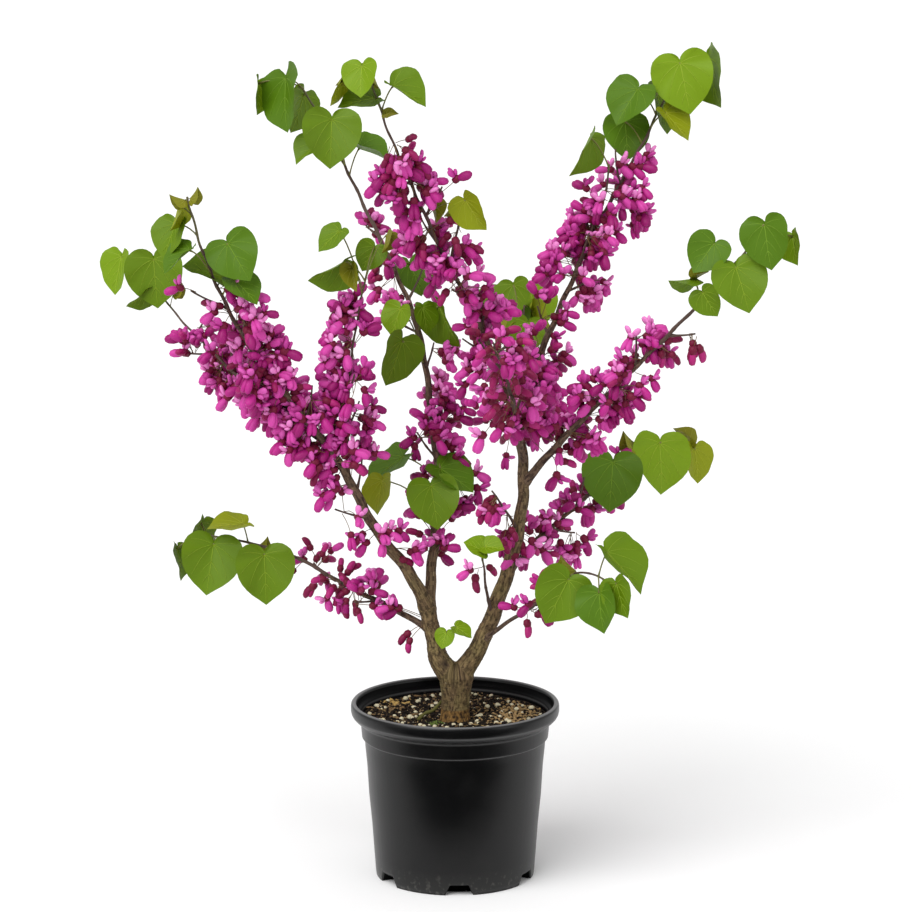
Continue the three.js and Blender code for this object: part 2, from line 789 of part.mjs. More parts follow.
function toGeometry(solid) {
  const mesh = solid.getMesh();
  const geometry = new THREE.BufferGeometry();
  geometry.setAttribute('position', new THREE.BufferAttribute(mesh.vertProperties, mesh.numProp));
  geometry.setIndex(new THREE.BufferAttribute(mesh.triVerts, 1));
  geometry.computeVertexNormals();
  return geometry;
}

const tree = new THREE.Group();
for (const [name, pieces] of nodes) {
  const geometry = toGeometry(mainBody(wasm.Manifold.union(pieces)));
  const mesh = new THREE.Mesh(geometry, new THREE.MeshStandardMaterial(finishOf(name)));
  mesh.name = name;
  tree.add(mesh);
}

export default tree;
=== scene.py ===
import bpy
import numpy as np
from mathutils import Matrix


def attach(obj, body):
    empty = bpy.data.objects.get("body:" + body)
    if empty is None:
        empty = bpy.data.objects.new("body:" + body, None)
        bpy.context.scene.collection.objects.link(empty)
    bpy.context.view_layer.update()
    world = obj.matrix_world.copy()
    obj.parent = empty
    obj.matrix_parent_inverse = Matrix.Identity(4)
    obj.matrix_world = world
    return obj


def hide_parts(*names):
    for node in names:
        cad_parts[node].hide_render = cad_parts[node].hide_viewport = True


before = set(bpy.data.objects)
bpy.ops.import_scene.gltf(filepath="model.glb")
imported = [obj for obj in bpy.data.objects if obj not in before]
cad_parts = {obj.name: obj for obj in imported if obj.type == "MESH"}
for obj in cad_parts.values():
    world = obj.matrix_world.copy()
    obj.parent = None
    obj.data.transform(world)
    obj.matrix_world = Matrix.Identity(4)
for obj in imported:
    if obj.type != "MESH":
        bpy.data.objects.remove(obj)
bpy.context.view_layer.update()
metre = 1000.0
front = np.array([0.0, -1.0, 0.0])
upward = np.array([0.0, 0.0, 1.0])

# The limbs have the same names and numbers as the solids. Each turns evenly between the directions
# in rise and heading: degrees above level, and degrees round from +X. It starts on another limb, at
# a share of that limb's length. foot and tip are radii. The mass takes over from the bare limb at
# the share enters, bloom is the stretch that flowers, and twigs is how many side twigs it has.
# Each leaf is share of the limb, bearing, petiole, hang, width, swing, lean: the petiole's angle in
# the front plane and its length, the angle of the blade's tip, the blade's width, how far the blade
# turns its face away from the front, and how far the petiole leans to the front.
limbs = {
    "left_limb": dict(
        startX=-1.5, length=79, foot=12, tip=9, steps=4, rise=[35, 80, 75],
        heading=[176, 156, 149],
    ),
    "right_limb": dict(
        startX=4.5, length=292, foot=10.8, tip=5.6, steps=12, rise=[53, 70, 74, 86, 103],
        heading=[-3, -4, -7, -17, 34],
    ),
    "left_bough": dict(
        on="left_limb", at=1, length=555, foot=7.8, tip=1.1, rise=[69, 50, 64, 52, 51, 60, 66, 74],
        heading=[-147, -160, -150, -158, -158, -153, -143, -126], mass="left_spray", enters=0.14,
        bloom=[0.14, 0.83], twigs=9,
        leaves=[
            (0.85, 54, 35, -57, 54, 0, 15), (0.79, 54, 29, -42, 42, 60, 35),
            (0.83, 125, 45, -139, 42, 70, 30), (0.81, 30, 24, 160, 56, 65, -65),
            (0.92, 157, 30, -108, 46, 45, -30), (0.96, 145, 19, -109, 32, 65, -20),
            (1, -172, 3, 158, 20, 65, 0), (1, 23, 3, 53, 19, 65, 0),
        ],
    ),
    "left_side": dict(
        on="left_bough", at=0.5, length=268, foot=2.8, tip=1, rise=[12, 15, 27, 25, 35],
        heading=[135, 135, 129, 131, 124], mass="left_spray", enters=0, bloom=[0.12, 0.8],
        twigs=4,
        leaves=[
            (0.98, 101, 49, -85, 63, 0, 20), (0.98, 136, 65, -100, 50, 50, -5),
            (0.98, 148, 20, -144, 36, 65, 30), (0.92, 74, 17, 56, 19, 60, 15),
        ],
    ),
    "left_twig": dict(
        on="left_bough", at=0.33, length=232, foot=2.4, tip=0.9, rise=[80, 80, 77, 74],
        heading=[-107, -77, -50, -38], mass="left_spray", enters=0, bloom=[0.1, 0.8], twigs=3,
        leaves=[
            (0.92, 109, 73, -136, 36, 45, 10), (0.98, 132, 33, -152, 52, 60, 20),
            (0.94, 113, 36, -79, 30, 10, 40), (1, 74, 40, -118, 33, 5, -35),
            (1, 64, 54, -102, 24, 45, -20),
        ],
    ),
    "centre_bough": dict(
        on="left_limb", at=1, length=626, foot=6.4, tip=1.1, rise=[76, 73, 71, 71, 60, 57, 59, 48],
        heading=[76, 67, 110, 114, 142, 143, 142, 151], mass="centre_spray", enters=0.14,
        bloom=[0.14, 0.76], twigs=8,
        leaves=[
            (0.83, 104, 62, -92, 64, 0, 25), (1, 148, 23, -89, 72, 50, 20),
            (1, 175, 51, -92, 42, 65, -10), (0.98, -148, 16, -109, 52, 50, -75),
            (0.83, 140, 39, -140, 41, 65, -10), (0.81, 70, 35, -19, 43, 65, 15),
            (0.46, 115, 60, -109, 38, 35, 15), (0.44, 129, 48, -110, 60, 40, 35),
            (0.5, 81, 37, -80, 35, 40, 35), (0.5, 53, 39, -64, 58, 60, 15),
            (0.21, 121, 30, -80, 56, 0, 60), (0.17, 145, 74, -99, 44, 45, 10),
            (0.23, 146, 47, -144, 60, 65, -10), (0.27, -68, 16, -33, 54, 65, 60),
            (0.62, 10, 34, -70, 46, 20, -60),
        ],
    ),
    "inner_bough": dict(
        on="right_limb", at=0.96, length=474, foot=4.2, tip=1, rise=[69, 62, 57, 59, 60, 65],
        heading=[-124, -132, -142, -136, -134, -121], mass="inner_spray", enters=0,
        bloom=[0.06, 0.78], twigs=7,
        leaves=[
            (1, 134, 18, -92, 38, 20, 50), (0.98, 151, 27, -122, 28, 55, -15),
            (0.98, 92, 17, -71, 29, 40, -45), (0.96, 162, 32, -114, 38, 75, 0),
            (0.88, 113, 25, -170, 45, 70, 20), (0.9, 65, 29, -32, 46, 65, 10),
            (0.88, 27, 6, 21, 16, 65, 55), (0.62, 69, 20, -75, 26, 50, -50),
            (0.62, 24, 34, -124, 20, 50, -25),
        ],
    ),
    "short_twig": dict(
        on="inner_bough", at=0.48, length=79, foot=1.8, tip=0.9, rise=[62, 61, 61],
        heading=[-72, -68, -71], mass="inner_spray", enters=0, bloom=[0.2, 0.7],
        leaves=[
            (1, 66, 12, -57, 44, 30, 30),
        ],
    ),
    "right_upper_bough": dict(
        on="right_limb", at=1, length=410, foot=4.9, tip=1.2, rise=[72, 60, 60, 59, 55, 55, 60],
        heading=[67, 39, 38, 39, 32, 34, 38], mass="right_upper_spray", enters=0.2,
        bloom=[0.15, 0.8], twigs=6,
        leaves=[
            (1, 69, 45, -79, 66, 0, 20), (1, 41, 64, -79, 66, 65, -10),
            (0.94, 126, 37, -124, 54, 40, 15), (0.94, 87, 27, -75, 56, 55, -35),
            (0.9, 48, 26, -50, 46, 55, 25), (0.85, 129, 35, -86, 51, 0, -35),
        ],
    ),
    "right_upper_twig": dict(
        on="right_upper_bough", at=0.5, length=106, foot=2.2, tip=1, rise=[73, 66, 90],
        heading=[10, 7, 25], mass="right_upper_spray", enters=0, bloom=[0.2, 0.95],
        leaves=[
            (0.98, 123, 40, -118, 56, 60, 10),
        ],
    ),
    "right_bough": dict(
        on="right_limb", at=0.79, length=396, foot=4.7, tip=1.2, rise=[50, 45, 44, 45, 51],
        heading=[-32, -30, -30, -32, -36], mass="right_spray", enters=0.2, bloom=[0.15, 0.66],
        twigs=4,
        leaves=[
            (0.85, 51, 32, -73, 57, 0, 45), (0.83, 94, 47, -127, 44, 20, 10),
            (0.81, 170, 19, -58, 34, 25, 60), (1, 58, 26, -81, 55, 30, 20),
            (1, 8, 45, -82, 36, 60, -10), (0.77, 108, 27, 180, 34, 65, 15),
            (0.77, 105, 26, 30, 20, 65, 10),
        ],
    ),
    "right_low_bough": dict(
        on="right_limb", at=0.4, length=307, foot=4.1, tip=1.1, rise=[41, 27, 26, 21, 11],
        heading=[56, 42, 42, 39, 35], mass="right_low_spray", enters=0.2, bloom=[0.15, 0.66],
        twigs=3,
        leaves=[
            (0.65, 94, 32, -95, 66, 0, 50), (0.96, 177, 26, -88, 68, 10, 50),
            (0.77, 88, 18, 135, 30, 65, -25), (1, -51, 16, 126, 30, 70, -40),
            (1, -38, 24, -85, 46, 50, -20),
        ],
    ),
    "right_basal_twig": dict(
        on="right_limb", at=0.15, length=240, foot=2.9, tip=1, rise=[39, 31, 41, -35],
        heading=[-49, -44, -53, -37], mass="right_basal_spray", enters=0, bloom=[0.1, 0.5],
        leaves=[
            (0.75, -155, 17, -118, 60, 0, 65), (0.9, -88, 18, -84, 50, 35, 25),
            (0.98, 35, 12, -74, 44, 40, 55), (0.9, 68, 28, -47, 66, 70, -25),
            (0.75, 46, 6, 134, 28, 70, -60),
        ],
    ),
    "left_basal_twig": dict(
        on="left_limb", at=0.7, length=294, foot=3.9, tip=1.1, rise=[30, 19, 27, 9, 4],
        heading=[158, 159, 159, 161, 162], mass="left_basal_spray", enters=0, bloom=[0.1, 0.64],
        twigs=2,
        leaves=[
            (0.73, -122, 20, -87, 64, 0, 75), (0.94, -105, 20, -98, 66, 10, 75),
            (1, 115, 17, -114, 52, 65, -45), (1, -153, 35, -79, 42, 65, 5),
            (0.81, 104, 23, -177, 48, 75, 10), (0.79, -74, 13, 43, 26, 65, -50),
        ],
    ),
    "front_bough": dict(
        on="right_limb", at=0.875, length=285, foot=3.6, tip=1, rise=[38, 37, 35, 34],
        heading=[-95, -97, -101, -103], mass="front_spray", enters=0.2, bloom=[0.15, 1], twigs=5,
    ),
    "back_bough": dict(
        on="right_limb", at=0.66, length=325, foot=3.8, tip=1.1, rise=[39, 40, 42, 43],
        heading=[84, 90, 91, 90], mass="back_spray", enters=0.2, bloom=[0.15, 0.88], twigs=5,
        leaves=[
            (0.88, 100, 40, -80, 40, 10, -20), (0.85, 32, 19, -101, 44, 15, 60),
            (0.88, 165, 17, -149, 30, 55, 35), (1, 10, 25, -80, 58, 30, -60),
            (1, 190, 30, -105, 52, 200, -50), (0.94, -30, 22, -75, 60, 90, -40),
            (0.97, 240, 26, -90, 54, 120, -30),
        ],
    ),
    "small_twig": dict(
        on="right_limb", at=0.27, length=92, foot=2.3, tip=1, rise=[51, 57, 54],
        heading=[-117, -98, -101], mass="small_spray", enters=0, bloom=[0.45, 0.8],
        leaves=[
            (0.96, 86, 13, 154, 28, 40, 25), (1, 79, 17, -3, 25, 45, 15),
        ],
    ),
    "dark_twig": dict(
        on="right_limb", at=0.61, length=70, foot=1.9, tip=1, rise=[50, 46], heading=[-127, -132],
        mass="dark_spray", enters=0, bloom=[0.4, 1],
    ),
    "crotch_twig": dict(
        on="left_limb", at=0.42, length=34, foot=1.2, tip=0.9, steps=2, rise=[35, 70],
        heading=[-55, -40], mass="crotch_spray", enters=0,
        leaves=[
            (1, 130, 3, -105, 22, 15, 10), (1, 40, 12, -30, 24, 55, 0),
        ],
    ),
}

pathRule = dict(
    steps=90, stepLength=44, forkHeight=224.0, taperPower=1.4, goldenAngle=137.5,
    sunk=3.0,  # the last root on a limb is this far short of its tip
    overlap=0.02,  # share of a limb by which its bloom starts after its spray does
    # a slow sideways wander: how far, its two waves, its turn from limb to limb, the length over
    # which it sets in, the foot radius of a limb that has all of it, and the least share of it
    wander=0.8, waves=(7.3, 9.1), phase=1.7, setsIn=40, fullFoot=4, leastShare=0.5,
)
# Side twigs: their size, lean along the limb and bend upwards in degrees, the stretch of a twig that
# flowers, the share of the limb's own stretch that carries twigs, and their first turn from limb to
# limb in degrees.
twigRule = dict(length=36, lengthSpread=8, foot=1.5, tip=0.9, forward=0.8, lift=14, bloom=[0.45, 1],
                stretch=0.93, firstTurn=60, seeds=(311, 53), ownSeeds=40)
# The constants of the two makers of random numbers, draws and lumps.
drawRule = dict(factor=1664525, shift=1013904223, span=2 ** 32)
hashRule = dict(axes=(73856093, 19349663, 83492791), seed=2654435761, mix=1274126177,
                mask=0x7FFFFFFF, shift=15, last=0xFFFF)


# The same run of numbers from 0 to 1 for the same seed: each state is a factor times the last one,
# plus a shift, within the span.
def draws(seed):
    state = seed
    while True:
        state = (state * drawRule["factor"] + drawRule["shift"]) % drawRule["span"]
        yield state / drawRule["span"]


def unit(vectors):  # each vector over its length
    return vectors / np.maximum(np.linalg.norm(vectors, axis=-1, keepdims=True), 1e-9)


def headingOf(bearing, rise):  # the direction with that bearing and rise
    b, r = np.radians(bearing), np.radians(rise)
    return np.stack([np.cos(r) * np.cos(b), np.cos(r) * np.sin(b), np.sin(r)], -1)


def blend(values, share):  # straight lines between values at even spacing
    return np.interp(share, np.linspace(0, 1, len(values)), values)


# The limb's line: the running sum of its steps, with a slow sideways wander that starts at nothing.
def growLimb(limb):
    steps = pathRule["steps"]
    share = (np.arange(steps) + 0.5) / steps
    moves = headingOf(blend(limb["heading"], share), blend(limb["rise"], share))
    if "on" in limb:
        start = limbPlace(limb["on"], limb["at"])[0]
    else:
        start = np.array([limb["startX"], 0, pathRule["forkHeight"]])
    line = np.vstack([[0, 0, 0], np.cumsum(moves, 0) * limb["length"] / steps]) + start
    along = np.linspace(0, 1, steps + 1) * limb["length"]
    phase = limb["seed"] * pathRule["phase"]
    first, second = pathRule["waves"]
    sway = np.stack([np.sin(along / first + phase), np.cos(along / second + phase), 0 * along], -1)
    fade = (np.clip(along / pathRule["setsIn"], 0, 1)
            * np.clip(limb["foot"] / pathRule["fullFoot"], pathRule["leastShare"], 1))
    limb["line"] = line + sway * (fade * pathRule["wander"])[:, None]


# Points, directions and radii of a limb at one share of its length or at several. The radius falls
# from foot to tip as a power of what is left of the length.
def limbPlace(limb, share):
    share = np.clip(np.asarray(share, float), 0, 1)
    marks = np.linspace(0, 1, len(limb["line"]))
    point = np.stack([np.interp(share, marks, limb["line"][:, k]) for k in range(3)], -1)
    forward = headingOf(blend(limb["heading"], share), blend(limb["rise"], share))
    side = unit(np.cross(forward, front))
    third = np.cross(side, forward)
    taper = (1 - share) ** pathRule["taperPower"]
    return point, forward, side, third, limb["tip"] + (limb["foot"] - limb["tip"]) * taper


# Side twigs at even spacing on the flowering stretch, each a golden angle round from the last.
def twigsOf(limb):
    made = []
    for k in range(limb.get("twigs", 0)):
        numbers = draws(limb["seed"] * twigRule["seeds"][0] + k * twigRule["seeds"][1])
        next(numbers)
        low, high = limb["bloom"]
        place = (k + 0.5 + 0.5 * next(numbers)) / limb["twigs"]
        share = low + place * (high - low) * twigRule["stretch"]
        _, forward, side, third, _ = limbPlace(limb, share)
        turn = np.radians(k * pathRule["goldenAngle"] + limb["seed"] * twigRule["firstTurn"])
        out = unit(side * np.cos(turn) + third * np.sin(turn) + forward * twigRule["forward"])
        rise = np.degrees(np.arcsin(out[2]))
        bearing = np.degrees(np.arctan2(out[1], out[0]))
        length = twigRule["length"] + twigRule["lengthSpread"] * (2 * next(numbers) - 1)
        twig = dict(on=limb, at=share, length=length, foot=twigRule["foot"], tip=twigRule["tip"],
                    rise=[rise, rise + twigRule["lift"]], heading=[bearing, bearing],
                    seed=limb["seed"] * twigRule["ownSeeds"] + k + 1)
        growLimb(twig)
        made.append(twig)
    return made


for number, (name, limb) in enumerate(limbs.items()):
    limb["seed"], limb["name"] = number + 1, name
    if "on" in limb:
        limb["on"] = limbs[limb["on"]]
    growLimb(limb)
    steps = limb.get("steps", int(np.ceil(limb["length"] / pathRule["stepLength"])))
    limb["enters"] = int(limb.get("enters", 1) * steps + 0.5) / steps
    if "bloom" in limb:
        limb["bloom"][0] = max(limb["bloom"][0], limb["enters"] + pathRule["overlap"])
sideTwigs = [twig for limb in limbs.values() for twig in twigsOf(limb)]
sprayNodes = sorted({limb["mass"] for limb in limbs.values() if "mass" in limb})
woodNodes = ["trunk"] + [name for name, limb in limbs.items() if limb["enters"] > 0]
print("limbs", len(limbs), "side twigs", len(sideTwigs))


# Square faces between neighbouring rows and columns of a grid of points, facing outwards where the
# columns turn from side to third and the rows go forward.
def gridFaces(rows, columns, closed=False):
    r, c = np.meshgrid(np.arange(rows - 1), np.arange(columns if closed else columns - 1),
                       indexing="ij")
    here = (r * columns + c).ravel()
    beside = (r * columns + (c + 1) % columns).ravel()
    return np.stack([here, here + columns, beside + columns, beside], -1)


# Rings of points carried along one path or many: centre + radius * (side * cos + third * sin),
# with both ends closed by a point.
def tubes(paths, radii, sides, side=None, third=None):
    paths = paths.reshape(-1, *paths.shape[-2:])
    count, stations = paths.shape[:2]
    if side is None:
        forward = unit(np.gradient(paths, axis=1))
        side = unit(np.cross(forward, front))
        third = np.cross(side, forward)
    radii = np.broadcast_to(radii, (count, stations))[..., None, None]
    turn = np.linspace(0, 2 * np.pi, sides, endpoint=False)[:, None]
    ring = (np.cos(turn) * np.reshape(side, (count, stations, 1, 3))
            + np.sin(turn) * np.reshape(third, (count, stations, 1, 3)))
    points = (paths[:, :, None] + ring * radii).reshape(count, -1, 3)
    points = np.concatenate([points, paths[:, :1], paths[:, -1:]], axis=1)
    k, last = np.arange(sides), (stations - 1) * sides
    beside, tip = (k + 1) % sides, np.full(sides, stations * sides)
    ends = np.concatenate([np.stack([k, beside, tip], -1),
                           np.stack([last + beside, last + k, tip + 1], -1)])
    return repeated(points, [gridFaces(stations, sides, True), ends])


# Many shapes with the same faces, as one: points by shape, and the faces of the first.
def repeated(points, faces):
    start = np.arange(len(points))[:, None, None] * points.shape[1]
    return points.reshape(-1, 3), [(f[None] + start).reshape(-1, f.shape[1]) for f in faces]


# Several shapes as one, each a pair of points and face lists.
def joined(shapes):
    points, squares, triangles, start = [], [], [], 0
    for own, faces in shapes:
        points.append(own)
        for face in faces:
            (triangles if face.shape[1] == 3 else squares).append(face + start)
        start += len(own)
    return np.concatenate(points), [np.concatenate(a) for a in (squares, triangles) if a]


# One shape copied to many places: origin + x * axis0 + y * axis1 + z * axis2 of each place.
def copied(shape, axes, origins):
    return repeated(np.einsum("vk,nkj->nvj", shape[0], axes) + origins[:, None], shape[1])


# Smooth random values from 0 to 1 that change over one unit of place: the corners of each unit
# cell get hashed values, blended across the cell.
def lumps(place, seed=0):
    cell = np.floor(place).astype(np.int64)
    part = place - cell
    part = part * part * (3 - 2 * part)
    total = np.zeros(place.shape[:-1])
    for corner in np.ndindex(2, 2, 2):
        key = np.bitwise_xor.reduce((cell + corner) * hashRule["axes"], axis=-1)
        key = (key ^ (seed * hashRule["seed"])) & hashRule["mask"]
        key = key * hashRule["mix"] & hashRule["mask"]
        value = ((key ^ (key >> hashRule["shift"])) & hashRule["last"]) / hashRule["last"]
        total += value * np.prod(np.where(corner, part, 1 - part), axis=-1)
    return total


# A piece from points in millimetres and face lists. slots gives each face's material by number.
def makePiece(name, shape, materials, slots=None, smooth=True):
    points, faces = shape
    mesh = bpy.data.meshes.new(name)
    corners = np.concatenate([f.ravel() for f in faces]).astype(np.int32)
    sizes = np.concatenate([np.full(len(f), f.shape[1]) for f in faces])
    mesh.vertices.add(len(points))
    mesh.vertices.foreach_set("co", (points / metre).astype(np.float32).ravel())
    mesh.loops.add(len(corners))
    mesh.loops.foreach_set("vertex_index", corners)
    mesh.polygons.add(len(sizes))
    mesh.polygons.foreach_set("loop_start", (np.cumsum(sizes) - sizes).astype(np.int32))
    mesh.update(calc_edges=True)
    for material in materials:
        mesh.materials.append(material)
    if slots is not None:
        mesh.polygons.foreach_set("material_index", np.asarray(slots, np.int32))
    mesh.polygons.foreach_set("use_smooth", np.full(len(sizes), smooth))
    piece = bpy.data.objects.new(name, mesh)
    bpy.context.scene.collection.objects.link(piece)
    return piece


def stand(piece, nodes):  # says what the piece stands for
    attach(piece, "root")
    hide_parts(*nodes)


def fromScreen(red, green, blue):  # to the linear values that shaders take
    c = np.array([red, green, blue]) / 255
    return (*np.where(c < 0.04045, c / 12.92, ((c + 0.055) / 1.055) ** 2.4), 1.0)


def put(tree, socket, value):  # a link, or a plain value
    if isinstance(value, bpy.types.NodeSocket):
        tree.links.new(value, socket)
    else:
        socket.default_value = value


def addNode(tree, kind, inputs, **settings):  # with its inputs linked or set
    node = tree.nodes.new("ShaderNode" + kind)
    for key, value in settings.items():
        setattr(node, key, value)
    for key, value in inputs.items():
        put(tree, node.inputs[key], value)
    return node


# The first colour at share 0, the second at share 1. A colour is a link or three numbers.
def mixed(tree, share, first, second):
    first, second = (c if isinstance(c, bpy.types.NodeSocket) else fromScreen(*c)
                     for c in (first, second))
    return addNode(tree, "Mix", {0: share, 6: first, 7: second}, data_type="RGBA").outputs[2]


def ranged(tree, value, low, high):  # 0 below low, 1 above high
    return addNode(tree, "MapRange", {"Value": value, "From Min": low, "From Max": high}).outputs[0]


# The first colour where the value is low or less, the second where it is high or more.
def toned(tree, value, low, high, first, second):
    return mixed(tree, ranged(tree, value, low, high), first, second)


# Noise from 0 to 1 on a place that is stretched along its axes first.
def noised(tree, place, scale, stretch=(1, 1, 1), detail=2.0):
    stretched = addNode(tree, "Mapping", {"Vector": place, "Scale": stretch}).outputs[0]
    return addNode(tree, "TexNoise", {"Vector": stretched, "Scale": scale,
                                      "Detail": detail}).outputs["Fac"]


# A fine bump: noise on the object's own coordinates, as a normal.
def makeGrain():
    group = bpy.data.node_groups.new("fineGrain", "ShaderNodeTree")
    for name in ("Scale", "Strength", "Depth"):
        group.interface.new_socket(name, in_out="INPUT", socket_type="NodeSocketFloat")
    group.interface.new_socket("Normal", in_out="OUTPUT", socket_type="NodeSocketVector")
    given = group.nodes.new("NodeGroupInput").outputs
    place = addNode(group, "TexCoord", {}).outputs["Object"]
    height = noised(group, place, given["Scale"], detail=3.0)
    bump = addNode(group, "Bump", {"Height": height, "Strength": given["Strength"],
                                   "Distance": given["Depth"]})
    put(group, group.nodes.new("NodeGroupOutput").inputs["Normal"], bump.outputs["Normal"])
    return group


fineGrain = makeGrain()


# A Principled material of plain values. grain is the fine bump's scale, strength and depth.
def makeMaterial(name, colour, roughness, grain=None, gloss=0.5):
    material = bpy.data.materials.new(name)
    material.use_nodes = True
    tree = material.node_tree
    shader = tree.nodes["Principled BSDF"]
    shader.inputs["Base Color"].default_value = fromScreen(*colour)
    shader.inputs["Roughness"].default_value = roughness
    shader.inputs["Specular IOR Level"].default_value = gloss
    if grain:
        group = tree.nodes.new("ShaderNodeGroup")
        group.node_tree = fineGrain
        for key, value in zip(("Scale", "Strength", "Depth"), grain):
            group.inputs[key].default_value = value
        put(tree, shader.inputs["Normal"], group.outputs["Normal"])
    return material


# The trunk's rings run from buried below soil level to lastRing above it. marks are the points on its
# middle by which the bark is laid out, at the radius markRadius.
trunk = dict(level=174.0, height=60.0, lastRing=59.8, buried=14, radius=15.2, flare=1.6,
             flareHeight=7.0, shoulder=4.6, shoulderTop=50, closing=5, thinnest=1.0,
             waistDepth=0.78, lean=1.5, rings=44, sides=48, marks=40, markRadius=17.0)
# voxel is the size of the cubes that the bark is first wrapped with, and relaxing smooths their
# steps. Wood thinner than thinnest, or thick for less than shortest, is left to the twigs. The limbs'
# bark pattern starts firstMark along, beyond the trunk's, and pull is the power of the radius.
wood = dict(voxel=1.08, relax=12, relaxSteps=(0.6, -0.58), thinnest=2.2, shortest=12, spacing=3,
            sides=20, collar=0.3, collarReach=1.3, marks=120, firstMark=60, pull=0.8, batch=4000)
budJoints = dict(spacing=21, width=2.4, shift=0.37)  # shift is from limb to limb, in spacings
relief = dict(
    # each has a height, lumps in a millimetre by direction, and the level they swing about; a limb
    # of fullRadius has all of it and a thin one the share least, and the height of the fine lumps is
    # the share finer of the coarse ones'
    fullRadius=12, least=0.15, finer=0.6,
    furrow=0.32, furrowScales=((0.4, 0.4, 0.12), (0.9, 0.9, 0.4)), furrowLevel=0.8,
    wrinkle=0.6, wrinkleScale=(0.09, 0.09, 0.42), wrinkleLevel=0.5,
    plate=1.0, plateScales=((0.34, 0.34, 0.22), (0.8, 0.8, 0.5)), plateLevel=0.6,
    graftHeight=188.0, graftEdge=0.7,
    pore=1.4, poreScale=(0.55, 0.55, 0.9), poreLevel=0.74,
    # the groove under the fork: depth, half width, its x at a height, its slope, and its ends
    groove=2.0, grooveWidth=2.0, grooveX=-2.5, grooveHeight=215, grooveSlope=0.12,
    grooveFoot=204, grooveFade=20, grooveTop=240, grooveDark=0.8,
    scar=1.6, scarPlace=(-10.5, -11.5, 241.5), scarSize=6.5, scarScale=0.5, scarLevel=0.55,
)


# Trunk radius by height: the plain radius, a flare that dies away upwards, a shoulder that grows as
# the cube of the height, and a round closing above the fork.
def trunkShape():
    height = np.linspace(-trunk["buried"], trunk["lastRing"], trunk["rings"])
    above = np.clip(height, 0, None)
    up = above / trunk["shoulderTop"]
    radius = (trunk["radius"] + trunk["flare"] * np.exp(-above / trunk["flareHeight"])
              + trunk["shoulder"] * np.minimum(up, 1) ** 3
              - trunk["radius"] * (np.maximum(0, up - 1) * trunk["closing"]) ** 2)
    share = height / trunk["height"]
    across = np.tile([1.0, 0, 0], (trunk["rings"], 1))
    depth = np.outer(1 - (1 - trunk["waistDepth"]) * np.clip(share, 0, 1), front)
    return tubes(trunkLine(height), np.maximum(radius, trunk["thinnest"]), trunk["sides"], across,
                 depth)


def trunkLine(height):  # the trunk's middle, which leans evenly from soil level up
    share = height / trunk["height"]
    return np.stack([trunk["lean"] * share, 0 * share, trunk["level"] + height], -1)


# A limb's tube between two shares of its length. The radius swells to a collar at the foot and at
# the buds along it.
def limbTube(limb, start, end, spacing, sides, collar=0.0, joint=0.0):
    count = max(4, int((end - start) * limb["length"] / spacing) + 1)
    share = np.linspace(start, end, count)
    point, forward, side, third, radius = limbPlace(limb, share)
    along = share * limb["length"]
    inside = limbPlace(limb["on"], limb["at"])[4] if "on" in limb else 0
    beyond = np.maximum(0, along - inside) / (wood["collarReach"] * limb["foot"])
    budAt = (along / budJoints["spacing"] + limb["seed"] * budJoints["shift"]) % 1 - 0.5
    bud = np.exp(-(budAt * budJoints["spacing"] / budJoints["width"]) ** 2)
    radius = radius * (1 + collar * np.exp(-beyond)) * (1 + joint * bud)
    return tubes(point, radius, sides, side, third)


# The share of a limb's length beyond which it is thinner than the thick bark is made.
def thinFrom(limb):
    share = np.linspace(0, 1, 200)
    thick = limbPlace(limb, share)[4] >= wood["thinnest"]
    return share[thick].max() if thick.any() else 0


def isThick(limb):  # whether its thick stretch is long enough to be wrapped with the trunk
    return thinFrom(limb) * limb["length"] > wood["shortest"]


def readAll(items, name, kind, width):  # one property of all items of a mesh, as rows
    values = np.empty(len(items) * width, kind)
    items.foreach_get(name, values)
    return values.reshape(-1, width)


# One skin round overlapping tubes, from small cubes: its mesh, points, edges and square faces.
def wrapped(shape):
    block = makePiece("block", shape, [])
    skin = block.modifiers.new("skin", "REMESH")
    skin.mode = "VOXEL"
    skin.voxel_size = wood["voxel"] / metre
    ready = block.evaluated_get(bpy.context.evaluated_depsgraph_get())
    mesh = bpy.data.meshes.new_from_object(ready)
    bpy.data.objects.remove(block)
    points = readAll(mesh.vertices, "co", np.float32, 3).astype(float) * metre
    edges = readAll(mesh.edges, "vertices", np.int32, 2)
    corners = readAll(mesh.loops, "vertex_index", np.int32, 1)[:, 0]
    sizes = readAll(mesh.polygons, "loop_total", np.int32, 1)[:, 0]
    starts = np.cumsum(sizes) - sizes
    print("skin faces", len(sizes), "of them square", int((sizes == 4).sum()))
    return mesh, points, edges, corners[starts[sizes == 4][:, None] + np.arange(4)]


# Each point moves to the mean of its neighbours and most of the way back, in turns, so that the
# cubes' steps go and the thickness stays.
def relaxed(points, edges):
    ends = np.concatenate([edges, edges[:, ::-1]])
    neighbours = np.bincount(ends[:, 0], minlength=len(points))
    for step in np.tile(wood["relaxSteps"], wood["relax"]):
        mean = np.stack([np.bincount(ends[:, 0], points[ends[:, 1], k], minlength=len(points))
                         for k in range(3)], -1) / neighbours[:, None]
        points = points + (mean - points) * step
    return points


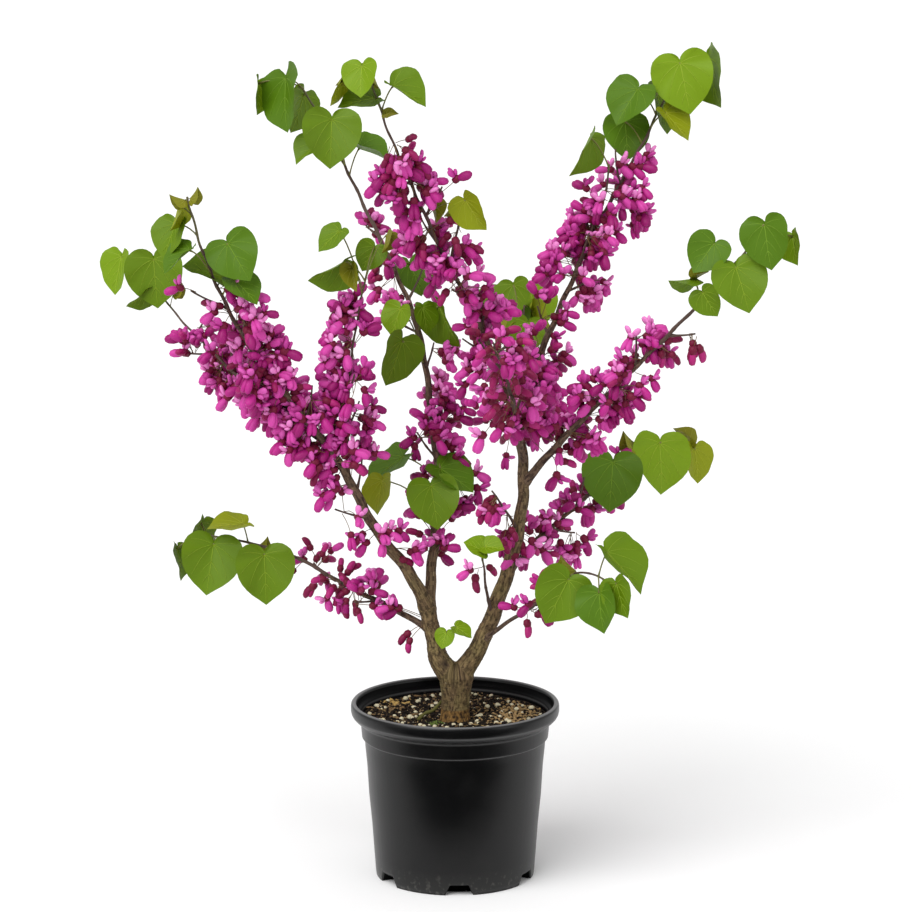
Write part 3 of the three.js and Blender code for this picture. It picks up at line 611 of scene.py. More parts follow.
# The mark on the trunk's or a limb's line that each point belongs to, by distance over a power of
# the radius: the mark's middle, side, third, radius and length along.
def marksFor(points, thick):
    share = np.linspace(0, 1, wood["marks"])
    axes = [limbPlace(limb, share) + (share * limb["length"] + wood["firstMark"],)
            for limb in thick]
    stem, rows = np.linspace(-trunk["buried"], trunk["shoulderTop"], trunk["marks"]), trunk["marks"]
    axes.append((trunkLine(stem), np.tile(upward, (rows, 1)), np.tile([1.0, 0, 0], (rows, 1)),
                 np.tile([0, 1.0, 0], (rows, 1)), np.full(rows, trunk["markRadius"]), stem))
    middle, _, side, third, radius, along = [np.concatenate(a) for a in zip(*axes)]
    nearest = np.empty(len(points), int)
    for low in range(0, len(points), wood["batch"]):
        some = slice(low, low + wood["batch"])
        gap = np.linalg.norm(points[some, None] - middle[None], axis=-1)
        nearest[some] = np.argmin(gap / radius ** wood["pull"], axis=1)
    return [values[nearest] for values in (middle, side, third, radius, along)]


def roughness(place, scales, seeds):  # coarse lumps with finer, lower ones on them
    coarse, fine = (lumps(place * scale, seed) for scale, seed in zip(scales, seeds))
    return coarse + relief["finer"] * fine


# How far each point stands out, and how dark it is: shallow furrows and cross wrinkles on the
# limbs, rough plates below the graft, small raised pores, a groove that runs down from the fork,
# and a scar.
def barkRelief(points, place, radius):
    x, y, z = points.T
    thickness = np.clip(radius / relief["fullRadius"], relief["least"], 1)
    furrow = roughness(place, relief["furrowScales"], (1, 2)) - relief["furrowLevel"]
    wrinkle = lumps(place * relief["wrinkleScale"], 6) - relief["wrinkleLevel"]
    height = thickness * (relief["furrow"] * furrow + relief["wrinkle"] * wrinkle)
    low = 1 / (1 + np.exp((z - relief["graftHeight"]) / relief["graftEdge"]))
    plates = roughness(points, relief["plateScales"], (3, 4)) - relief["plateLevel"]
    height += relief["plate"] * low * plates
    pores = np.clip(lumps(place * relief["poreScale"], 5) - relief["poreLevel"], 0, 1)
    height += relief["pore"] * pores * thickness * (1 - low)
    middle = relief["grooveX"] + relief["grooveSlope"] * (z - relief["grooveHeight"])
    groove = (np.exp(-((x - middle) / relief["grooveWidth"]) ** 2)
              * np.clip((z - relief["grooveFoot"]) / relief["grooveFade"], 0, 1)
              * (z < relief["grooveTop"]) * (y < 0))
    height -= relief["groove"] * groove
    gap = np.linalg.norm(points - relief["scarPlace"], axis=-1)
    scar = np.exp(-(gap / relief["scarSize"]) ** 4)
    height += relief["scar"] * scar * (lumps(points * relief["scarScale"], 8) - relief["scarLevel"])
    return height, np.clip(relief["grooveDark"] * groove + scar, 0, 1)


# The trunk, limbs and boughs under one bark. Its attributes give the bark's place round and along
# its limb, how old it is, from 0 on thin wood to 1, and how dark.
def makeBark(material):
    thick = [limb for limb in limbs.values() if isThick(limb)]
    shapes = [limbTube(limb, 0, thinFrom(limb), wood["spacing"], wood["sides"], wood["collar"])
              for limb in thick]
    mesh, points, edges, squares = wrapped(joined([trunkShape()] + shapes))
    middle, side, third, radius, along = marksFor(points, thick)
    points = relaxed(points, edges)
    mesh.vertices.foreach_set("co", (points / metre).astype(np.float32).ravel())
    mesh.update()
    normals = readAll(mesh.vertices, "normal", np.float32, 3).astype(float)
    bpy.data.meshes.remove(mesh)
    out = points - middle
    around = np.arctan2((out * third).sum(-1), (out * side).sum(-1))
    place = np.stack([np.cos(around) * radius, np.sin(around) * radius, along], -1)
    height, dark = barkRelief(points, place, radius)
    bark = makePiece("barkSkin", (points + normals * height[:, None], [squares]), [material])
    for name, kind, key, values in (("barkPlace", "FLOAT_VECTOR", "vector", place / metre),
                                    ("barkAge", "FLOAT", "value", radius / relief["fullRadius"]),
                                    ("barkDark", "FLOAT", "value", dark)):
        attribute = bark.data.attributes.new(name, kind, "POINT")
        values = np.clip(values, 0, 1) if kind == "FLOAT" else values
        attribute.data.foreach_set(key, values.astype(np.float32).ravel())
    stand(bark, woodNodes)
    print("bark done")


barkLook = dict(
    plain=(100, 82, 60), roughness=0.8, grain=(900, 0.9, 0.0008), gloss=0.25,
    # the waves in a metre across and along of each noise, and its detail
    streaks=((420, 420, 170), 6.0), patches=((60, 60, 34), 3.0), wrinkles=((120, 120, 560), 3.0),
    pores=((600, 600, 1100), 2.0), plates=((340, 340, 220), 4.0),
    # where the second colour starts and where it is full, and the two colours
    warm=(0.34, 0.68, (52, 39, 25), (124, 102, 71)),
    olive=(0.34, 0.66, (60, 50, 27), (140, 123, 80)),
    young=(0.36, 0.64, (60, 45, 38), (112, 92, 74)),
    foot=(0.38, 0.62, (52, 36, 20), (134, 101, 54)),
    # the same for what lies over the colour so far
    oliveFrom=(0.40, 0.66), youngFrom=(0.66, 0.36), footFrom=(0.1890, 0.1872),
    wrinkle=(0.56, 0.78, (44, 33, 23)), pore=(0.69, 0.76, (164, 146, 114)),
    dark=(0.1, 1.2, (40, 29, 20)),
)


# Bark colours: olive-brown patches over darker brown with short streaks, dark wrinkles and pale
# pores, redder on thin wood, dark in the groove and the scar, rust brown below the graft.
def makeBarkMaterial():
    material = makeMaterial("roughBark", barkLook["plain"], barkLook["roughness"],
                            barkLook["grain"], barkLook["gloss"])
    tree = material.node_tree
    place = addNode(tree, "Attribute", {}, attribute_name="barkPlace").outputs["Vector"]
    age = addNode(tree, "Attribute", {}, attribute_name="barkAge").outputs["Fac"]
    darkness = addNode(tree, "Attribute", {}, attribute_name="barkDark").outputs["Fac"]
    where = addNode(tree, "TexCoord", {}).outputs["Object"]
    height = addNode(tree, "SeparateXYZ", {"Vector": where}).outputs["Z"]
    streaks, patches, wrinkles, pores, plates = (
        noised(tree, where if name == "plates" else place, 1.0, *barkLook[name])
        for name in ("streaks", "patches", "wrinkles", "pores", "plates"))
    warm, olive, young = (toned(tree, streaks, *barkLook[name])
                          for name in ("warm", "olive", "young"))
    colour = toned(tree, patches, *barkLook["oliveFrom"], warm, olive)
    colour = toned(tree, age, *barkLook["youngFrom"], colour, young)
    for value, name in ((wrinkles, "wrinkle"), (pores, "pore"), (darkness, "dark")):
        low, high, over = barkLook[name]
        colour = toned(tree, value, low, high, colour, over)
    foot = toned(tree, plates, *barkLook["foot"])
    colour = toned(tree, height, *barkLook["footFrom"], colour, foot)
    put(tree, tree.nodes["Principled BSDF"].inputs["Base Color"], colour)
    return material


makeBark(makeBarkMaterial())


twigLook = dict(
    spacing=4, overlap=5,  # between rings, and back into the thick bark
    # sides, and how far the radius swells at the foot and at the buds
    sides=8, collar=0.2, joint=0.22, sideTwigSides=6, sideTwigCollar=0.3, sideTwigJoint=0.3,
    shootFrom=0.9, shootOverlap=0.005,  # shares of a leafy limb where its green end starts
    # colour, roughness and grain
    bark=((80, 60, 50), 0.7, (1500, 0.5, 0.0003)),
    shoot=((88, 82, 50), 0.6, (1500, 0.4, 0.0002)),
)


# Twigs: each limb from where the thick bark ends, its green end as a piece of its own, and the
# side twigs.
def makeTwigs(material, shootMaterial):
    spacing, sides, joint = (twigLook[name] for name in ("spacing", "sides", "joint"))
    shapes, shoots = [], []
    for limb in limbs.values():
        start = max(0, thinFrom(limb) - twigLook["overlap"] / limb["length"]) if isThick(limb) else 0
        end = twigLook["shootFrom"] if "leaves" in limb else 1
        if start < twigLook["shootFrom"]:
            shapes.append(limbTube(limb, start, end, spacing, sides, twigLook["collar"], joint))
        if end < 1:
            first = max(start, twigLook["shootFrom"] - twigLook["shootOverlap"])
            shoots.append(limbTube(limb, first, 1, spacing, sides, joint=joint))
    shapes += [limbTube(twig, 0, 1, spacing, twigLook["sideTwigSides"],
                        twigLook["sideTwigCollar"], twigLook["sideTwigJoint"])
               for twig in sideTwigs]
    stand(makePiece("twigs", joined(shapes), [material]), sprayNodes)
    stand(makePiece("shoots", joined(shoots), [shootMaterial]), sprayNodes)
    print("twigs done")


makeTwigs(makeMaterial("twigBark", *twigLook["bark"]), makeMaterial("shootBark", *twigLook["shoot"]))


blossom = dict(
    # a bunch: fewest and most flowers, its place within its spacing, its turn beyond the golden
    # angle, its lean along the limb, the longest spur, and the flowers' reach beyond the bark
    fewest=4, most=8, earliest=0.2, room=0.6, turnSpread=40, forward=0.35, spur=7, length=34,
    lengthSpread=6, twigSpacing=20, seeds=(997, 131),
    # a flower in its bunch: how far it strays, hangs and keeps from pointing at the front, where
    # its stalk starts in the limb's radius and how far off, its share of the reach, and its size
    spread=0.62, hang=0.34, openFront=0.65, rootShare=0.6, rootSpread=2.5, rootShape=(1, 1, 0.5),
    reach=(0.74, 1.06), budReach=0.86, size=(1.1, 1.38), flowerLength=15.0, budLength=13.0,
    buds=0.2, nod=(0, 0, -0.1), nodSpread=0.3, rollSpread=0.25,
    stalkRadius=0.5, stalkPoints=4, stalkSides=3, shortest=5, bow=(0, 0, 0.8), bowSpread=0.9,
    # no flower stands near the middle of a blade: in leaf widths aside, and in depth
    clearance=0.52, before=120, behind=15, bladeMiddle=0.35, flowerMiddle=6,
)
# The parts of a flower and of a bud: root, direction and width's direction, with +X forwards and +Z
# up, then length, half width, half thickness, bend, lean, and for some the rows and sides.
flowerShape = dict(
    keels=((2.6, 0.9, -0.4), (0.86, 0.1, -0.5), (0.5, 0, 0.86), 14.0, 3.9, 2.7, -0.06, 0.85),
    wings=((3.2, 1.0, 1.6), (0.1, 0.42, 0.9), (0.5, -0.84, 0.2), 10.4, 3.2, 1.8, 0.1, 0.7),
    standard=((4.2, 0, 1.6), (0.7, 0, 0.7), (0, 1, 0), 6.6, 2.9, 1.6, -0.1, 0.75, 3, 6),
    calyx=((-2.4, 0, 0.2), (1, 0, -0.06), (0, 1, 0), 8.6, 3.6, 3.6, 0, 1.1, 3, 7),
    bud=((0.8, 0, 0), (1, 0, 0), (0, 1, 0), 13.0, 3.1, 3.5, 0.22, 0.8),
)
# Stretches in flower: from and to as shares of the limb, the spacing of the bunches, and how far
# they lean to the right and up.
flowering = dict(
    left_limb=[(0.75, 1, 19, -1.5, -0.3)],
    right_limb=[(0.58, 0.71, 17, 0.1, -1.2)],
    left_bough=[(0.13, 0.24, 26, 1.3, 0.1), (0.3, 0.38, 24, -1.4, 0.6),
                (0.38, 0.67, 15, -0.8, -0.6), (0.55, 0.82, 17, 0.9, 0.6)],
    left_side=[(0.03, 0.6, 11, 0.2, -1.2)],
    left_twig=[(0.13, 0.45, 19, -1.5, 0.6), (0.39, 0.83, 20, -1.25, 0.3)],
    centre_bough=[(0.07, 0.25, 22, 0.3, 0.8), (0.26, 0.4, 16, 1.2, 0.9),
                  (0.55, 0.66, 20, -1.2, -0.9)],
    inner_bough=[(0.07, 0.37, 45, -0.3), (0.34, 0.5, 31, -0.3, 1), (0.5, 0.77, 32, -1.2, -1.2),
                 (0.7, 0.82, 14, 0.3, -0.9)],
    short_twig=[(0.17, 0.67, 16, 1.2)],
    right_upper_bough=[(0.03, 0.22, 11, 1), (0.43, 0.63, 15, -1.5, 0.3), (0.66, 0.82, 19, 0, 1.2)],
    right_upper_twig=[(0.11, 0.84, 13, 0.2, -0.3)],
    right_bough=[(0.12, 0.23, 11, 0.6, 0.5), (0.26, 0.62, 24, -0.6, 0.3)],
    right_low_bough=[(0.15, 0.53, 20, 0.3, 0.9)],
    right_basal_twig=[(0.23, 0.62, 38, -0.3, 0.9)],
    left_basal_twig=[(0.24, 0.48, 25, 0.3, 1.1), (0.33, 0.59, 18, -0.3, -1.2)],
    front_bough=[(0.27, 1, 24, 0.6, 1.2)],
    back_bough=[(0.54, 0.82, 12, -0.3)],
    small_twig=[(0.74, 0.92, 12, -1.2, 1.2)],
    dark_twig=[(0.37, 0.91, 18, -0.9, -1.2)],
)
# stretches with more buds, and their share of buds
inBud = [("right_bough", 0.56, 1, 0.85), ("inner_bough", 0.75, 1, 0.9),
         ("left_basal_twig", 0.3, 1, 0.75), ("right_basal_twig", 0, 1, 0.85),
         ("small_twig", 0, 1, 0.8), ("right_low_bough", 0.8, 1, 0.5), ("left_limb", 0, 1, 0.6),
         ("right_limb", 0, 0.6, 0.6), ("front_bough", 0, 1, 0.6), ("dark_twig", 0, 1, 0.7),
         ("short_twig", 0, 1, 0.5)]
petalTones = dict(
    keels=[(178, 36, 130), (200, 64, 156), (148, 16, 102)],
    wings=[(208, 86, 172), (228, 130, 198), (188, 58, 148)],
    buds=[(148, 18, 86), (168, 30, 108), (122, 8, 64)],
)
# roughness, grain and gloss, for the last two after the colour
petalLook = (0.5, (2500, 0.3, 0.0001), 0.3)
calyxLook = ((112, 12, 50), 0.55, (2500, 0.3, 0.0001), 0.3)
flowerStalkLook = ((112, 84, 48), 0.6, (2500, 0.3, 0.0001))


# A petal, calyx or bud: an oval section carried along a line that bends evenly. Its size runs as the
# sine of the place to the power fullness, with the belly at the share middle ** lean.
def petal(start, direction, across, length, wide, thick, bend=0.0, lean=1.0, stations=4, sides=7,
          fullness=0.8):
    step = np.linspace(0, np.pi, stations + 2)[1:-1]
    share = (0.5 - 0.5 * np.cos(step)) ** lean
    direction, across = unit(np.array(direction, float)), unit(np.array(across, float))
    down = np.cross(across, direction)
    share = np.concatenate([[0], share, [1]])
    path = (np.array(start, float) + direction * (share * length)[:, None]
            + down * (bend * length * share ** 2)[:, None])
    points, faces = tubes(path[1:-1], np.sin(step) ** fullness, sides,
                          np.tile(across * wide, (stations, 1)), np.tile(down * thick, (stations, 1)))
    points[-2:] = path[[0, -1]]
    return points, faces


# Each part's shape. The keels and the wings come in pairs, mirrored from side to side.
def flowerParts():
    parts = {}
    for name, (start, direction, across, *size) in flowerShape.items():
        sides = (-1, 1) if name in ("keels", "wings") else (1,)
        parts[name] = joined([petal(*(np.array(v) * (1, s, 1) for v in (start, direction, across)),
                                    *size) for s in sides])
    return parts


# Where the blossom stands on a stretch: each bunch is a golden angle round from the last and opens
# from one node. Gives node, direction, reach, share of buds and limb radius once for each flower.
def bunchesOn(limb, low, high, spacing, right=0, up=0):
    count = max(int((high - low) * limb["length"] / spacing + 0.5), 1)
    first, second = blossom["seeds"]
    found = []
    for k in range(count):
        numbers = draws(limb["seed"] * first + k * second)
        next(numbers)
        place = (k + blossom["earliest"] + blossom["room"] * next(numbers)) / count
        share = low + place * (high - low)
        point, forward, side, third, radius = limbPlace(limb, share)
        turn = np.radians(k * pathRule["goldenAngle"] + blossom["turnSpread"] * next(numbers))
        spur = blossom["spur"] * next(numbers) ** 2
        out = unit(side * np.cos(turn) + third * np.sin(turn) + forward * blossom["forward"]
                   + np.array([right, 0, up]))
        reach = (spur + radius + blossom["length"]
                 + blossom["lengthSpread"] * (2 * next(numbers) - 1))
        main, where = (limb, share) if "name" in limb else (limb["on"], limb["at"])
        buds = max([b for name, start, end, b in inBud
                    if name == main["name"] and start <= where <= end], default=blossom["buds"])
        flowers = int(blossom["fewest"] + next(numbers) * (blossom["most"] - blossom["fewest"] + 1))
        found += [(*point, *out, reach, buds, radius)] * flowers
    return found


# The flowers of some bunches: each leaves its node near the bunch's direction and hangs a little,
# on a stalk that bows between its ends. Gives whether it is a bud, its axes, its stalk's end, the
# stalk's path and its tone.
def openFlowers(spots, seed):
    spots = np.array(spots)
    count = len(spots)
    dice = np.random.default_rng(seed)
    buds = dice.random(count) < spots[:, 7]
    direction = unit(spots[:, 3:6] + blossom["spread"] * dice.normal(size=(count, 3))
                     - upward * blossom["hang"])
    hiding = np.clip(direction @ front, 0, 1)[:, None]
    direction = unit(direction - front * hiding * blossom["openFront"])
    root = (spots[:, :3] + direction * spots[:, 8:] * blossom["rootShare"]
            + blossom["rootSpread"] * dice.normal(size=(count, 3)) * blossom["rootShape"])
    size = dice.uniform(*blossom["size"], count)
    length = np.where(buds, blossom["budLength"], blossom["flowerLength"])
    reach = (spots[:, 6] * dice.uniform(*blossom["reach"], count)
             * np.where(buds, blossom["budReach"], 1))
    stalk = np.maximum(reach - length * size, blossom["shortest"])
    base = root + direction * stalk[:, None]
    ahead = unit(direction + blossom["nodSpread"] * dice.normal(size=(count, 3)) + blossom["nod"])
    over = unit(upward - ahead * ahead[:, 2:]
                + blossom["rollSpread"] * dice.normal(size=(count, 3)))
    across = unit(np.cross(over, ahead))
    axes = np.stack([ahead, across, np.cross(ahead, across)], 1) * size[:, None, None]

    share = np.linspace(0, 1, blossom["stalkPoints"])[:, None]
    bow = dice.normal(size=(count, 1, 3)) * blossom["bowSpread"] + blossom["bow"]
    paths = (root[:, None] + direction[:, None] * stalk[:, None, None] * share
             + bow * (1 - share) * share * 4)
    return buds, axes, base, paths, dice.integers(0, len(petalTones["keels"]), count)


# Whether each flower is clear of the blades: for each blade it is well aside of the blade's middle,
# or far enough in front of it or at its back, by the lengths before and behind.
def clearOfBlades(axes, base):
    rows = leafRows()
    middle = rows[:, 3:6] + rows[:, 6:9] * rows[:, 12:13] * blossom["bladeMiddle"]
    gap = base[:, None] + axes[:, None, 0] * blossom["flowerMiddle"] - middle
    aside = np.hypot(gap[..., 0], gap[..., 2]) > blossom["clearance"] * rows[:, 12]
    deep = gap[..., 1]
    return (aside | (deep > blossom["behind"]) | (deep < -blossom["before"])).all(1)


# The flowers and buds of all stretches and side twigs, with each kind of petal as one piece for
# each of its tones, and the calyxes and stalks.
def makeBlossom():
    groups = [openFlowers(bunchesOn(limbs[name], *stretch), (limbs[name]["seed"], number))
              for name, stretches in flowering.items() for number, stretch in enumerate(stretches)]
    groups += [openFlowers(bunchesOn(twig, *twigRule["bloom"], blossom["twigSpacing"]),
                           twig["seed"]) for twig in sideTwigs]
    found = [np.concatenate(kind) for kind in zip(*groups)]
    clear = clearOfBlades(found[1], found[2])
    buds, axes, base, paths, tone = (kind[clear] for kind in found)
    parts = flowerParts()
    for kind, names, which in (("keels", ["keels"], ~buds), ("wings", ["wings", "standard"], ~buds),
                               ("buds", ["bud"], buds)):
        for number, colour in enumerate(petalTones[kind]):
            chosen = (tone == number) & which
            shapes = [copied(parts[name], axes[chosen], base[chosen]) for name in names]
            material = makeMaterial(kind + "Tone" + str(number), colour, *petalLook)
            stand(makePiece(kind + str(number), joined(shapes), [material]), sprayNodes)
    stalks = tubes(paths, blossom["stalkRadius"], blossom["stalkSides"])
    cups = copied(parts["calyx"], axes, base)
    for name, shape, finish, look in (("calyxes", cups, "calyxTone", calyxLook),
                                      ("flowerStalks", stalks, "flowerStalkTone", flowerStalkLook)):
        stand(makePiece(name, shape, [makeMaterial(finish, *look)]), sprayNodes)
    print("flowers", int((~buds).sum()), "buds", int(buds.sum()))


leafShape = dict(
    # the blade's outline, as reach in widths at each turn in degrees from the tip, and its grid
    turn=[0, 5, 12, 25, 44, 60, 80, 100, 120, 140, 160, 180],
    reach=[0.87, 0.815, 0.765, 0.71, 0.645, 0.585, 0.525, 0.46, 0.37, 0.26, 0.15, 0.06],
    columns=37, rows=6, rowPower=0.9,
    # its relief in widths: wave has so many crests round the blade, quilt one in so many degrees
    fold=0.16, cup=0.10, tipNod=0.30, nodFrom=0.25, wave=0.03, crests=5, quilt=0.010, quiltTurn=16,
    # what differs from blade to blade: the nod, from leastNod of it up, the stray from the swing, the
    # fold and the start of the wave
    nod=18, leastNod=0.4, swingSpread=20, foldSpread=(0.5, 2.2), phase=6.3, seed=577, foldSeed=9,
    # blades up to youngest wide are folded and narrow, but not on the limbs in openYoung
    youngest=31, youngFold=0.95, youngWidth=0.62, openYoung=("crotch_twig", "small_twig"),
    sideOn=60, sideFold=(0.12, 0.6),  # blades that swing from sideOn on have their own fold
    # the numbers of the tones dealt to the blades, and to smaller ones near the end of a limb
    tints=[0, 0, 0, 0, 0, 2, 2, 2, 3, 1], lateTints=[0, 0, 1, 1, 3], tintSeed=104177,
    lateFrom=0.94, largest=51,
    # each vein bends between three points, in widths from the notch, and the first is the midrib
    veins=[[(0, 0), (0, 0.4), (0, 0.86)], [(0, 0), (0.16, 0.16), (0.30, 0.56)],
           [(0, 0), (0.24, 0.06), (0.44, 0.32)], [(0, 0), (0.20, -0.08), (0.40, -0.04)],
           [(0, 0.30), (0.10, 0.38), (0.18, 0.56)], [(0, 0.50), (0.06, 0.56), (0.10, 0.68)]],
    veinPoints=6, veinSides=4, veinRadius=0.42, veinTip=0.3, midrib=1.5, veinLift=0.001,
    # a leaf stalk bows up by a share of its length and swells at both ends
    stalkRadius=0.8, stalkPoints=7, stalkSides=6, stalkBow=0.12, swollenTop=0.7, swollenFoot=0.5,
    swollenReach=0.08, youngStalk=0.6,
)
leafTones = dict(  # the blade and its veins
    middle=((92, 121, 6), (128, 154, 38)), yellow=((128, 138, 8), (158, 166, 44)),
    deep=((76, 110, 8), (112, 146, 40)), bright=((110, 140, 8), (144, 170, 46)),
    young=((120, 120, 24), (150, 148, 60)),
)
# roughness, grain and gloss, for the stalks after the colour
bladeLook = (0.5, (1400, 0.4, 0.0002), 0.2)
veinLook = (0.5, (1400, 0.3, 0.0001), 0.2)
leafStalkLook = ((112, 112, 50), 0.5, (1400, 0.3, 0.0001))


# Every leaf as one row of numbers: its root, the point where the blade begins, its tip direction,
# its face direction, width, whether it has opened, its swing and its share of the limb.
def leafRows():
    rows = []
    for name, limb in limbs.items():
        numbers = draws(limb["seed"] * leafShape["seed"])
        for share, bearing, petiole, hang, width, swing, lean in limb.get("leaves", []):
            root = limbPlace(limb, min(share, 1 - pathRule["sunk"] / limb["length"]))[0]
            nod = leafShape["nod"] * (leafShape["leastNod"] + next(numbers))
            b, h, n, slope = np.radians([bearing, hang, nod, lean])
            out = np.array([np.cos(b) * np.cos(slope), -np.sin(slope),
                            np.sin(b) * np.cos(slope)])
            tipward = np.array([np.cos(h) * np.cos(n), -np.sin(n), np.sin(h) * np.cos(n)])
            turned = np.radians(swing + leafShape["swingSpread"] * (next(numbers) - 0.5))
            turned = turned if next(numbers) < 0.5 else -turned
            face = unit(front - tipward * (front @ tipward))
            face = face * np.cos(turned) + np.cross(tipward, face) * np.sin(turned)
            opened = width > leafShape["youngest"] or name in leafShape["openYoung"]
            rows.append((*root, *(root + out * petiole), *tipward, *face, width, opened,
                         abs(swing), share))
    return np.array(rows)


def edgeAt(turn):  # the outline's reach at a turn from the tip, in radians
    return np.interp(np.abs(np.degrees(turn)), leafShape["turn"], leafShape["reach"])


# Points on the blades, for x across and y towards the tip in widths: folded up from the midrib,
# cupped, with the tip bent down, a slow wave and a fine one that both grow towards the edge.
def bladePoints(leaf, x, y, above=0.0):
    turn = np.arctan2(x, y)
    share = np.hypot(x, y) / edgeAt(turn)
    lift = (leaf["fold"] * np.abs(x) + leafShape["cup"] * (x ** 2 + y ** 2)
            - leafShape["tipNod"] * np.maximum(y - leafShape["nodFrom"], 0) ** 2
            + leafShape["wave"] * share ** 2 * np.sin(leafShape["crests"] * turn + leaf["phase"])
            + leafShape["quilt"] * share
            * np.cos(np.degrees(turn) * np.pi / leafShape["quiltTurn"]) + above)
    return leaf["start"] + leaf["width"] * ((x * leaf["narrow"])[..., None] * leaf["across"]
                                            + y[..., None] * leaf["tipward"]
                                            + lift[..., None] * leaf["face"])


# The veins' lines and radii: each line is a curve between its three points, and thins to its tip.
def veinLines():
    bends = np.array(leafShape["veins"], float)
    bends = np.concatenate([bends, bends[1:] * [-1, 1]])
    t = np.linspace(0, 1, leafShape["veinPoints"])[:, None]
    lines = (bends[:, :1] * (1 - t) ** 2 + bends[:, 1:2] * 2 * t * (1 - t) + bends[:, 2:] * t ** 2)
    thick = np.where(np.arange(len(bends)) == 0, leafShape["midrib"], 1)[:, None]
    return lines, (leafShape["veinRadius"] * thick
                   * np.linspace(1, leafShape["veinTip"], leafShape["veinPoints"]))


# A leaf stalk's path is straight with a bow upwards, four times share times what is left of it.
def makeLeafStalks(rows, young):
    share = np.linspace(0, 1, leafShape["stalkPoints"])[:, None]
    root, start = rows[:, None, :3], rows[:, None, 3:6]
    rise = np.linalg.norm(start - root, axis=-1, keepdims=True) * leafShape["stalkBow"]
    paths = root + (start - root) * share + upward * rise * 4 * share * (1 - share)
    top, foot = (np.exp(-(s / leafShape["swollenReach"]) ** 2) for s in (1 - share, share))
    size = leafShape["stalkRadius"] * (1 + leafShape["swollenTop"] * top
                                       + leafShape["swollenFoot"] * foot)[:, 0]
    size = size[None] * np.where(young, leafShape["youngStalk"], 1)[:, None]
    material = makeMaterial("leafStalkTone", *leafStalkLook)
    stand(makePiece("leafStalks", tubes(paths, size, leafShape["stalkSides"]), [material]),
          sprayNodes)


# The blades and their veins as one piece each for each tone, and the leaf stalks.
def makeLeaves():
    rows = leafRows()
    count = len(rows)
    dice = np.random.default_rng(leafShape["foldSeed"])
    tipward, face, width = rows[:, 6:9], rows[:, 9:12], rows[:, 12]
    young, sideOn = rows[:, 13] == 0, rows[:, 14] >= leafShape["sideOn"]
    fold = np.where(sideOn, dice.uniform(*leafShape["sideFold"], count),
                    leafShape["fold"] * dice.uniform(*leafShape["foldSpread"], count))
    fold[young] = leafShape["youngFold"]
    leaf = dict(start=rows[:, 3:6], tipward=tipward, face=face, across=np.cross(tipward, face),
                width=width[:, None], phase=dice.uniform(0, leafShape["phase"], count), fold=fold,
                narrow=np.where(young, leafShape["youngWidth"], 1))
    leaf = {key: value.reshape(count, 1, 1, *value.shape[1:]) for key, value in leaf.items()}

    turn = np.linspace(-np.pi, np.pi, leafShape["columns"])
    out = np.linspace(0, 1, leafShape["rows"])[:, None] ** leafShape["rowPower"] * edgeAt(turn)
    blades = bladePoints(leaf, (out * np.sin(turn))[None], (out * np.cos(turn))[None])
    blades = blades.reshape(count, -1, 3)
    sheet = gridFaces(leafShape["rows"], leafShape["columns"])
    lines, veinSize = veinLines()
    veins = bladePoints(leaf, lines[None, ..., 0], lines[None, ..., 1], leafShape["veinLift"])

    late = (rows[:, 15] >= leafShape["lateFrom"]) & (width < leafShape["largest"])
    tints = np.random.default_rng(leafShape["tintSeed"])
    tone = np.where(late, tints.choice(leafShape["lateTints"], count),
                    tints.choice(leafShape["tints"], count))
    tone[width < leafShape["youngest"]] = list(leafTones).index("bright")
    tone[young] = list(leafTones).index("young")
    for number, (name, (bladeTone, veinTone)) in enumerate(leafTones.items()):
        chosen = tone == number
        material = makeMaterial(name + "Leaf", bladeTone, *bladeLook)
        stand(makePiece("leaves_" + name, repeated(blades[chosen], [sheet]), [material]),
              sprayNodes)
        material = makeMaterial(name + "Vein", veinTone, *veinLook)
        shape = tubes(veins[chosen], np.tile(veinSize, (chosen.sum(), 1)), leafShape["veinSides"])
        stand(makePiece("veins_" + name, shape, [material]), sprayNodes)
    makeLeafStalks(rows, young)
    print("leaves", count)


makeLeaves()
makeBlossom()


pot = dict(
    # radius and height of the outer wall from the foot up, over the rim and down the inner wall
    outer=[(87.5, 0), (87.9, 1.2), (92.0, 58), (95.3, 92), (97.2, 125), (99.2, 145), (99.9, 154.5),
           (100.3, 156), (102.2, 156.5), (102.9, 157.4), (103.0, 158.4), (103.6, 165),
           (104.1, 171.6), (104.3, 172.8), (105.2, 174.4), (107.8, 176.3), (110.6, 178.2),
           (113.0, 180.7), (114.4, 183.4), (115.0, 186.5), (115.0, 191.3), (114.5, 193.8),
           (113.4, 195.2), (111.6, 195.7),
           (110.0, 195.3), (109.0, 194.0), (108.5, 192.0), (107.6, 186.6), (106.6, 185.4),
           (104.8, 185.0), (103.9, 184.2), (102.6, 176), (101.9, 171), (99.5, 160),
           (97.3, 150), (86.3, 17), (84.6, 14.4), (81.5, 13.6)],
    floor=13.6, footRadius=87.5, columns=168, leastGap=0.6,  # leastGap is in degrees
    # the rows below footTop follow the arches and one more stands footGap above: both take their
    # radius from the first wallPoints of the outer wall, and stand in place of the first skipped
    footTop=24.0, footRows=5, footGap=8, wallPoints=8, skipped=2,
    # an arch's height, its half width at the foot and at the top, the rounding and the drop of its
    # corner, the column beyond its foot, and the radius of its back
    notches=6, firstNotch=-87, notchHeight=11.5, notchFoot=15.5, notchTop=10.5, notchRound=1.2,
    notchDrop=0.5, notchEdge=0.4, notchDepth=74.0,
    # the arches are painted darker and dull within this radius and below this height, as painted
    # shade in the recesses; the inner wall within its radius and above its height is dull, a copy of
    # the plastic that stands in for shade inside the rim
    archIn=86.3, archTop=12.5, wallIn=108.6, wallFrom=178,
)
